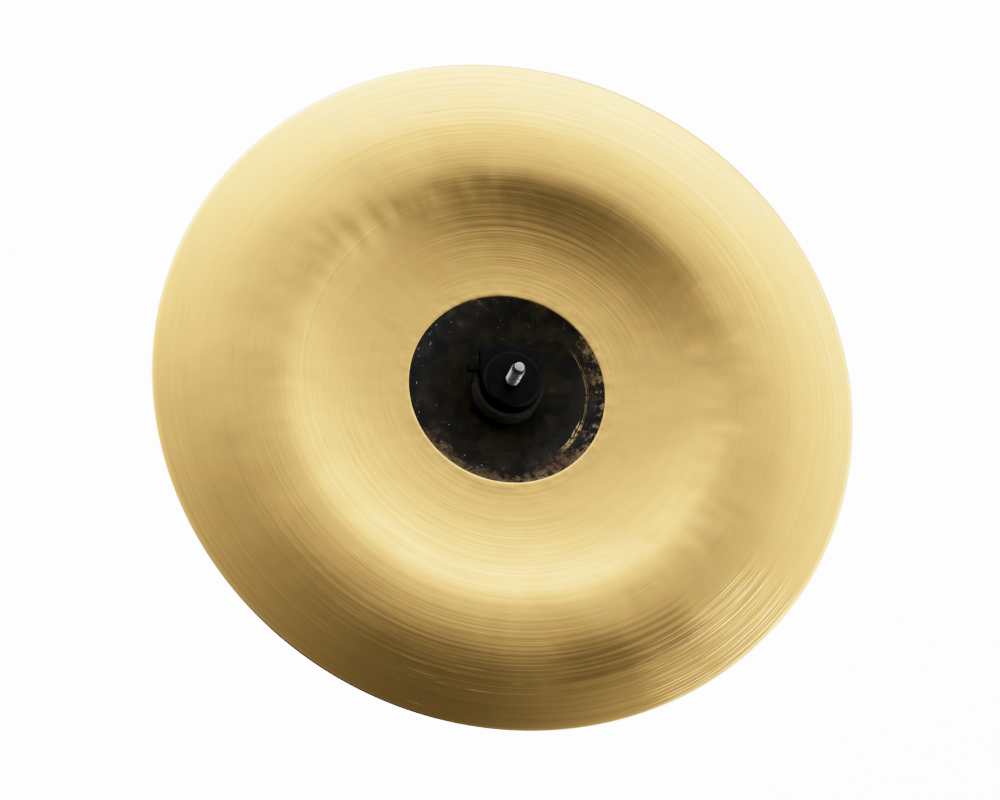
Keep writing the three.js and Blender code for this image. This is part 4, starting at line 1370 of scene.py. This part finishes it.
class CYMBAL_OT_nut(bpy.types.Operator):
    """Mould the quick-release nut: base, housing, cap, button, jaw and spring"""

    bl_idname = "cymbal.nut"
    bl_label = "Quick-release nut"

    def execute(self, context):
        look = context.scene.fittings_look
        plastic = moulded(
            "black_plastic", look.plastic, rough=0.42, grain_depth=0.02 * MM, shine=0.032)
        cap_finish = moulded("cap_plastic", look.plastic, rough=0.34, grain_depth=0.02 * MM, shine=0.036)
        steel = plated("spring_steel", look.steel, rough=0.22, peel=0.004 * MM)
        brass = plated("jaw_brass", look.brass, rough=0.26, peel=0.008 * MM)
        self.base(look, plastic)
        self.housing(look, plastic)
        self.cap(look, cap_finish)
        self.button(look, plastic)
        frame["nodes"]["thread_jaw"].data.materials.clear()
        frame["nodes"]["thread_jaw"].data.materials.append(brass)
        self.spring(steel)
        return {"FINISHED"}

    @staticmethod
    def outline(high, corner, inset):
        """The nut seen from above: round towards -Y and square towards +Y."""
        half, flat = high.x - inset, high.y - inset
        points = [(half * math.cos(a), half * math.sin(a)) for a in np.linspace(math.pi, FULL_TURN, 49)]
        middles = ((half - corner, flat - corner), (corner - half, flat - corner))
        for (x, y), start in zip(middles, (0.0, math.pi / 2)):
            for a in np.linspace(start, start + math.pi / 2, 9):
                points.append((x + corner * math.cos(a), y + corner * math.sin(a)))
        return points

    def base(self, look, plastic):
        """The thin plate that closes the nut from below."""
        low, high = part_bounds("nut_base")
        sheet = plate(self.outline(high, look.nut_corner, 0.0), low.z, high.z)
        hole = rod(bore_radius("nut_base"), low.z - MM, high.z + MM)
        mesh = carved([sheet], [hole], look.edge * 0.6)
        put("nut_base_plate", smooth(mesh), plastic, "nut", "black_plastic", "nut_base")

    def housing(self, look, plastic):
        """The hollow body, open below, with a slot for the button's arm."""
        low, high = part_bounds("nut_housing")
        roof = 1.0 * MM
        wall = 1.8 * MM
        clearance = 0.3 * MM
        slot_length = 6.1 * MM
        arm_low, arm_high = part_box(
            "release_button", lambda p: (p[:, 0] < -high.x) & (p[:, 0] > -high.x - BEYOND))
        whole = plate(self.outline(high, look.nut_corner, 0.0), low.z, high.z)
        outer = carved([whole], [], look.edge * 1.6)
        pocket = plate(self.outline(high, look.nut_corner, wall), low.z - MM, high.z - roof)
        hole = rod(bore_radius("nut_housing"), low.z - MM, high.z + MM)
        slot = block(
            (-high.x - BEYOND, arm_low.y - clearance, low.z - MM),
            (-high.x + slot_length, arm_high.y + clearance, high.z - roof))
        mesh = carved([outer], [pocket, hole, slot])
        put("nut_housing_shell", smooth(mesh), plastic, "nut", "black_plastic", "nut_housing")

    @staticmethod
    def cap(look, finish):
        """The round cap, with a chamfered edge and a shallow recess round the stud."""
        low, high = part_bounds("nut_cap")
        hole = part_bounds("stud")[1].x + 0.15 * MM
        chamfer_width = 1.7 * MM
        chamfer_height = 1.2 * MM
        recess_radius = hole + 1.2 * MM
        recess_slope = 0.5 * MM
        recess_floor = high.z - 0.12 * MM
        outline = rounded([
            (hole, low.z), (high.x, low.z), (high.x, high.z - chamfer_height),
            (high.x - chamfer_width, high.z), (recess_radius + recess_slope, high.z),
            (recess_radius, recess_floor), (hole, recess_floor)], look.edge)
        mesh = turned("nut_cap_disc", outline, finish, turned_tree(), sides=128)
        put("nut_cap_disc", mesh, finish, "nut", "black_plastic", "nut_cap")

    @staticmethod
    def button(look, plastic):
        """The square button, its arm, and the slider with a window for the jaw and a notch for the coil."""
        low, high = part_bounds("release_button")
        housing_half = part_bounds("nut_housing")[1].x
        head_low, head_high = part_box("release_button", lambda p: p[:, 0] < -housing_half - MM)
        plate_low, plate_high = part_box("release_button", lambda p: p[:, 0] > -housing_half)
        spring_low, spring_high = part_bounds("release_spring")

        # The window's corners are the only ones well inside the slider.
        window_low, window_high = part_box(
            "release_button",
            lambda p: (p[:, 0] > -8 * MM) & (p[:, 0] < 9 * MM) & (abs(p[:, 1]) < 6.5 * MM))
        arm_half = 1.8 * MM
        arm_overlap = 2 * MM
        spring_room = 0.3 * MM
        middle = (head_low.y + head_high.y) / 2
        head = carved([block(head_low, head_high)], [], look.edge * 2)
        slider = block(plate_low, plate_high)
        arm = block(
            (head_low.x + arm_half, middle - arm_half, plate_low.z),
            (plate_low.x + arm_overlap, middle + arm_half, plate_high.z))
        window = block(
            (window_low.x, window_low.y, low.z - MM), (window_high.x, window_high.y, high.z + MM))
        notch = block(
            (spring_low.x - 0.5 * MM, spring_low.y - spring_room, low.z - MM),
            (high.x + MM, spring_high.y + spring_room, high.z + MM))
        mesh = carved([slider, arm, head], [window, notch])
        put("release_slider", smooth(mesh), plastic, "button", "black_plastic", "release_button")

    @staticmethod
    def spring(steel):
        """The coil behind the slider; the share of it kept as the button goes in is worked out, but the coil
        is not made to shorten.
        """
        low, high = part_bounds("release_spring")
        wire = 0.2 * MM
        curls = 9.0
        steps_per_curl = 24
        mesh = grown("spring", bpy.data.meshes.new("seed"), coil_tree(), {
            "Curls": curls, "Coil Radius": (high.z - low.z) / 2 - wire, "Wire Radius": wire,
            "Height": high.x - low.x - 2 * wire, "Steps": steps_per_curl, "Finish": steel})
        mesh = along_x(mesh, (low.z + high.z) / 2)
        mesh.transform(Matrix.Translation((low.x + wire, (low.y + high.y) / 2, 0)))
        coil = put("release_coil", smooth(mesh), steel, "nut", "bright_steel", "release_spring")
        joints = {joint["name"]: joint for joint in frame["record"]["behaviour"]["joints"]}
        press = joints["button_press"]
        seat = press["deforming_nodes"][0]["fixed_end_x_m"]
        keep = 1 - press["range_m"][1] / (seat - low.x)
        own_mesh(coil)


def thread_rows(radius, low, high, row=0.2 * MM):
    """Outline points and thread depths for a threaded stretch, fading out at both ends."""
    count = max(int((high - low) / row), 2)
    levels = np.linspace(low, high, count)
    fade = 1.5 * MM
    depths = [min(1.0, (level - low) / fade, (high - level) / fade) for level in levels]
    return [(radius, level) for level in levels], depths


def threaded(name, foot, stretch, head, finish, tree, pitch, depth):
    """The mesh of a screw turned about Z: its plain foot, its threaded stretch and its plain head."""
    rows, depths = stretch
    threads = [0.0] * len(foot) + depths + [0.0] * len(head)
    return turned(name, foot + rows + head, finish, tree, threads, sides=48, pitch=pitch, depth=depth)


class CYMBAL_OT_stud(bpy.types.Operator):
    """Thread the stud and add its lock nut, cup washer and sleeve"""

    bl_idname = "cymbal.stud"
    bl_label = "Stud"

    def execute(self, context):
        look = context.scene.fittings_look
        turn = turned_tree()
        zinc = plated("zinc_steel", look.steel, rough=0.28, peel=0.01 * MM)
        nylon = moulded("black_nylon", look.nylon, rough=0.4, grain_depth=0.012 * MM, shine=0.4)
        self.stud(look, turn)
        low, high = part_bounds("stud_lock_nut")
        nut = hex_nut(high.y - low.y, bore_radius("stud_lock_nut"), low.z, high.z, look.nut_bevel)
        put("lock_nut", nut, zinc, "head", "bright_steel", "stud_lock_nut")
        self.cup_washer(look, turn, zinc)
        self.sleeve(look, turn, nylon)
        return {"FINISHED"}

    @staticmethod
    def stud(look, turn):
        """The threaded stud, with a thinner tip, and shade painted dark on the tip's side and foot and in
        the thread's roots.
        """
        low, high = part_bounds("stud")
        above_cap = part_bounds("nut_cap")[1].z
        shoulder = part_box("stud", lambda p: p[:, 2] > above_cap)[0].z
        tip = part_box("stud", lambda p: p[:, 2] > shoulder + MM)[1].x
        radius = high.x - 0.12 * MM
        # Between these radii lie the tip's side, its foot and the thread's roots, which are painted dark as
        # shade.
        shade_from, shade_to = tip - 0.1 * MM, radius - 0.16 * MM
        bright = plated("stud_steel", look.steel, 0.16, 0.004 * MM, shade_from, shade_to)
        chamfer = 0.8 * MM
        tip_edge = 0.3 * MM
        thread = thread_rows(radius, low.z + 1.0 * MM, shoulder - 1.2 * MM)
        foot = [(0.0, low.z), (radius - chamfer, low.z), (radius, low.z + chamfer)]
        head = rounded([
            (radius, shoulder - 0.9 * MM), (tip, shoulder), (tip, high.z - 0.4 * MM),
            (tip - tip_edge, high.z), (0.0, high.z)], tip_edge, closed=False)
        mesh = threaded(
            "stud_threaded", foot, thread, head, bright, turn, look.stud_pitch, look.thread_depth)
        put("stud_threaded", mesh, bright, "head", "bright_steel", "stud")

    @staticmethod
    def cup_washer(look, turn, zinc):
        """The steel washer, sloped at its foot and hollowed inside a flat lip."""
        low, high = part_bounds("seat_washer")
        hole = bore_radius("seat_washer")
        foot_inset = 1.2 * MM
        foot_height = 0.7 * MM
        lip_width = 1.1 * MM
        slope_width = 0.8 * MM
        cup_depth = 0.25 * MM
        cup = rounded([
            (hole, low.z), (high.x - foot_inset, low.z), (high.x, low.z + foot_height), (high.x, high.z),
            (high.x - lip_width, high.z), (high.x - lip_width - slope_width, high.z - cup_depth),
            (hole, high.z - cup_depth)], look.edge)
        mesh = turned("cup_washer", cup, zinc, turn, sides=128)
        put("cup_washer", mesh, zinc, "head", "bright_steel", "seat_washer")

    @staticmethod
    def sleeve(look, turn, nylon):
        """The nylon tube round the stud, with a flange at its foot."""
        low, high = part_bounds("cymbal_sleeve")
        hole = bore_radius("cymbal_sleeve")
        tube = part_box("cymbal_sleeve", lambda p: p[:, 2] > high.z - MM)[1].x
        flange_top = part_box("cymbal_sleeve", lambda p: np.hypot(p[:, 0], p[:, 1]) > high.x - MM)[1].z
        outline = rounded([
            (hole, low.z), (high.x, low.z), (high.x, flange_top), (tube, flange_top), (tube, high.z),
            (hole, high.z)], look.edge)
        mesh = turned("flanged_sleeve", outline, nylon, turn)
        put("flanged_sleeve", mesh, nylon, "felts", "black_nylon", "cymbal_sleeve")


class CYMBAL_OT_tilter(bpy.types.Operator):
    """Cast the tilter's two halves and add its disc, washer and pivot nut"""

    bl_idname = "cymbal.tilter"
    bl_label = "Tilter"

    def execute(self, context):
        look = context.scene.fittings_look
        chrome = plated("chrome_plate", look.chrome, rough=0.1, peel=0.012 * MM)
        zinc = plated("pivot_steel", look.steel, rough=0.28, peel=0.01 * MM)
        fibre = pressed_fibre("pressed_fibre", look.fibre)
        washer_low, washer_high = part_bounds("bolt_washer")
        pivot = (washer_low.z + washer_high.z) / 2
        bolt_hole = bore_radius("bolt_washer", (0.0, pivot), (1, 2))
        self.base(look, chrome, pivot, bolt_hole)
        self.head(look, chrome, pivot, bolt_hole)
        turn = turned_tree()
        for name, node, finish, slot in (
                ("friction_sheet", "friction_disc", fibre, "fibre"),
                ("hub_washer", "bolt_washer", zinc, "bright_steel")):
            low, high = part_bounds(node)
            corners = [(bolt_hole, low.x), (high.y, low.x), (high.y, high.x), (bolt_hole, high.x)]
            ring = rounded(corners, look.edge * 0.8)
            mesh = along_x(turned(name, ring, finish, turn, sides=96), pivot)
            put(name, mesh, finish, "base", slot, node)
        low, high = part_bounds("pivot_nut")
        nut_hole = bore_radius("pivot_nut", (0.0, pivot), (1, 2))
        nut = along_x(hex_nut(high.y - low.y, nut_hole, low.x, high.x, look.nut_bevel), pivot)
        put("pivot_hex_nut", nut, zinc, "base", "bright_steel", "pivot_nut")
        return {"FINISHED"}

    @staticmethod
    def base(look, chrome, pivot, bolt_hole):
        """The lower half: socket, neck, cheek, the pinch screw's boss and the pivot nut's pocket."""
        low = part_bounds("tilter_base")[0]
        cheek_low, cheek_high = part_box("tilter_base", lambda p: p[:, 2] > pivot + 5 * MM)
        socket_high = part_box("tilter_base", lambda p: p[:, 0] > 2 * MM)[1]
        boss_low, boss_high = part_box("tilter_base", lambda p: p[:, 1] < low.y + 0.5 * MM)
        boss_radius = boss_high.x + 0.8 * MM
        screw_height = (boss_low.z + boss_high.z) / 2
        screw_hole = 3.3 * MM
        points = node_points("tilter_base")
        mouth = points[abs(points[:, 2]) < 0.01 * MM]
        bore = float(np.hypot(mouth[:, 0], mouth[:, 1]).min())
        depth = float(points[np.hypot(points[:, 0], points[:, 1]) < bore + 0.05 * MM][:, 2].max())
        neck = look.neck_half_width
        solids = [
            rod(socket_high.x, 0.0, socket_high.z),
            block((cheek_low.x, -neck, socket_high.z - look.neck_sunk), (cheek_high.x, neck, pivot)),
            along_x(rod(cheek_high.y, cheek_low.x, cheek_high.x, 96), pivot),
            along_minus_y(rod(boss_radius, bore + 2 * MM, -low.y), screw_height),
        ]
        nut_low, nut_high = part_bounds("pivot_nut")
        nut_clearance = 0.3 * MM
        corner = ((nut_high.y - nut_low.y) / 2 + nut_clearance) / math.cos(math.pi / 6)
        pocket = plate(circle(corner, 6), cheek_low.x - BEYOND, nut_high.x + nut_clearance)
        cuts = [
            rod(bore, -BEYOND, depth),
            along_minus_y(rod(screw_hole, 0.0, -low.y + 3 * MM), screw_height),
            along_x(rod(bolt_hole, cheek_low.x - BEYOND, cheek_high.x + BEYOND), pivot),
            along_x(pocket, pivot),
        ]
        mesh = carved(solids, cuts, voxel=CAST_VOXEL, smoothing=5)
        put("tilter_base_casting", smooth(mesh, math.radians(70)), chrome, "base", "chrome_plate",
            "tilter_base")

    @staticmethod
    def head(look, chrome, pivot, bolt_hole):
        """The upper half: cheek, neck and the stud's boss."""
        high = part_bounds("tilter_head")[1]
        cheek_low, cheek_high = part_box("tilter_head", lambda p: p[:, 2] < pivot - 5 * MM)
        boss_foot = part_box("tilter_head", lambda p: p[:, 0] < -5 * MM)[0].z
        neck = look.neck_half_width
        solids = [
            along_x(rod(cheek_high.y, cheek_low.x, cheek_high.x, 96), pivot),
            block((cheek_low.x, -neck, pivot), (cheek_high.x, neck, boss_foot)),
            rod(high.x, boss_foot - look.neck_sunk, high.z),
        ]
        cuts = [
            along_x(rod(bolt_hole, cheek_low.x - BEYOND, cheek_high.x + BEYOND), pivot),
            rod(bore_radius("tilter_head"), boss_foot - BEYOND, high.z + BEYOND),
        ]
        mesh = carved(solids, cuts, voxel=CAST_VOXEL, smoothing=5)
        put("tilter_head_casting", smooth(mesh, math.radians(70)), chrome, "head", "chrome_plate",
            "tilter_head")


class CYMBAL_OT_screws(bpy.types.Operator):
    """Make the wing bolt and the square-headed pinch screw"""

    bl_idname = "cymbal.screws"
    bl_label = "Screws"

    def execute(self, context):
        look = context.scene.fittings_look
        chrome = plated("wing_chrome", look.chrome, rough=0.12, peel=0.012 * MM)
        steel = plated("screw_steel", look.steel, rough=0.25, peel=0.008 * MM)
        turn = turned_tree()
        self.wing_bolt(look, chrome, turn)
        self.pinch_screw(look, steel, turn)
        return {"FINISHED"}

    @staticmethod
    def wing_bolt(look, chrome, turn):
        """The cast hub and wings on their threaded shaft."""
        low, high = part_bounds("wing_bolt")
        pivot = (low.z + high.z) / 2
        hub_radius = (high.z - low.z) / 2
        washer_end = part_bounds("bolt_washer")[1].x
        hub_foot = part_box("wing_bolt", lambda p: p[:, 0] > washer_end + 0.01 * MM)[0].x
        wing_foot = part_box("wing_bolt", lambda p: abs(p[:, 1]) > high.y / 2)[0].x
        wing_half = hub_radius - 2.5 * MM
        outline = []
        for start, side in ((0.0, 1), (math.pi, -1)):
            for a in np.linspace(start, start + math.pi, 25):
                across = wing_half * math.cos(a)
                outline.append((across, side * (high.y - wing_half) + wing_half * math.sin(a)))
        hub = rod(hub_radius, hub_foot, high.x)
        wings = plate(outline, wing_foot, high.x)
        cast = carved([hub, wings], [], voxel=0.3 * MM, smoothing=8)

        radius = 4 * MM
        chamfer = 0.7 * MM
        shaft_end = hub_foot + 2 * MM
        thread = thread_rows(radius, low.x + 1.0 * MM, hub_foot - 1.0 * MM)
        foot = [(0.0, low.x), (radius - chamfer, low.x), (radius, low.x + chamfer)]
        end = [(radius, shaft_end), (0.0, shaft_end)]
        shaft = threaded("shaft", foot, thread, end, chrome, turn, look.stud_pitch, look.thread_depth)
        mesh = along_x(joined([cast, shaft]), pivot)
        put("wing_bolt_cast", smooth(mesh, math.radians(60)), chrome, "wing", "chrome_plate", "wing_bolt")

    @staticmethod
    def pinch_screw(look, steel, turn):
        """The threaded shank with its collar and square head."""
        low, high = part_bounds("socket_screw")
        height = (low.z + high.z) / 2
        tip, end = -high.y, -low.y
        collar = part_box(
            "socket_screw", lambda p: np.hypot(p[:, 0], p[:, 2] - height) > high.x - 0.1 * MM)
        collar_top, collar_foot = -collar[0].y, -collar[1].y
        radius = 3 * MM
        chamfer = 0.5 * MM
        thread = thread_rows(radius, tip + 0.8 * MM, collar_foot - 0.4 * MM, row=0.16 * MM)
        foot = [(0.0, tip), (radius - chamfer, tip), (radius, tip + chamfer)]
        head = rounded([
            (radius, collar_foot), (high.x, collar_foot), (high.x, collar_top), (0.0, collar_top)],
            0.3 * MM, closed=False)
        shank = threaded(
            "shank", foot, thread, head, steel, turn, look.screw_pitch, look.thread_depth * 0.8)
        half = 3 * MM
        key = carved([block((-half, -half, collar_top - 0.5 * MM), (half, half, end))], [], look.edge * 1.5)
        mesh = along_minus_y(joined([shank, key]), height)
        put("pinch_screw", smooth(mesh), steel, "pinch_screw", "bright_steel", "socket_screw")


class CYMBAL_PT_panel(bpy.types.Panel):
    """The looks and the steps of the cymbal"""

    bl_idname = "CYMBAL_PT_panel"
    bl_label = "China cymbal"
    bl_space_type = "VIEW_3D"
    bl_region_type = "UI"
    bl_category = "Cymbal"

    def draw(self, context):
        for step in STEPS:
            self.layout.operator(step.bl_idname)
        for look in looks():
            box = self.layout.box()
            for label in look.__annotations__:
                box.prop(look, label)


STEPS = (CYMBAL_OT_stage, CYMBAL_OT_cymbal, CYMBAL_OT_felts, CYMBAL_OT_nut, CYMBAL_OT_stud,
         CYMBAL_OT_tilter, CYMBAL_OT_screws)
CLASSES = (CymbalLook, FittingsLook, StageLook, *STEPS, CYMBAL_PT_panel)


def register():
    for kind in CLASSES:
        bpy.utils.register_class(kind)
    bpy.types.Scene.cymbal_look = bpy.props.PointerProperty(type=CymbalLook)
    bpy.types.Scene.fittings_look = bpy.props.PointerProperty(type=FittingsLook)
    bpy.types.Scene.stage_look = bpy.props.PointerProperty(type=StageLook)


def unregister():
    del bpy.types.Scene.cymbal_look
    del bpy.types.Scene.fittings_look
    del bpy.types.Scene.stage_look
    for kind in reversed(CLASSES):
        bpy.utils.unregister_class(kind)


def main():
    """Builds the scene step by step."""
    register()
    for step in STEPS:
        group, name = step.bl_idname.split(".")
        getattr(getattr(bpy.ops, group), name)()


if __name__ == "__main__":
    main()
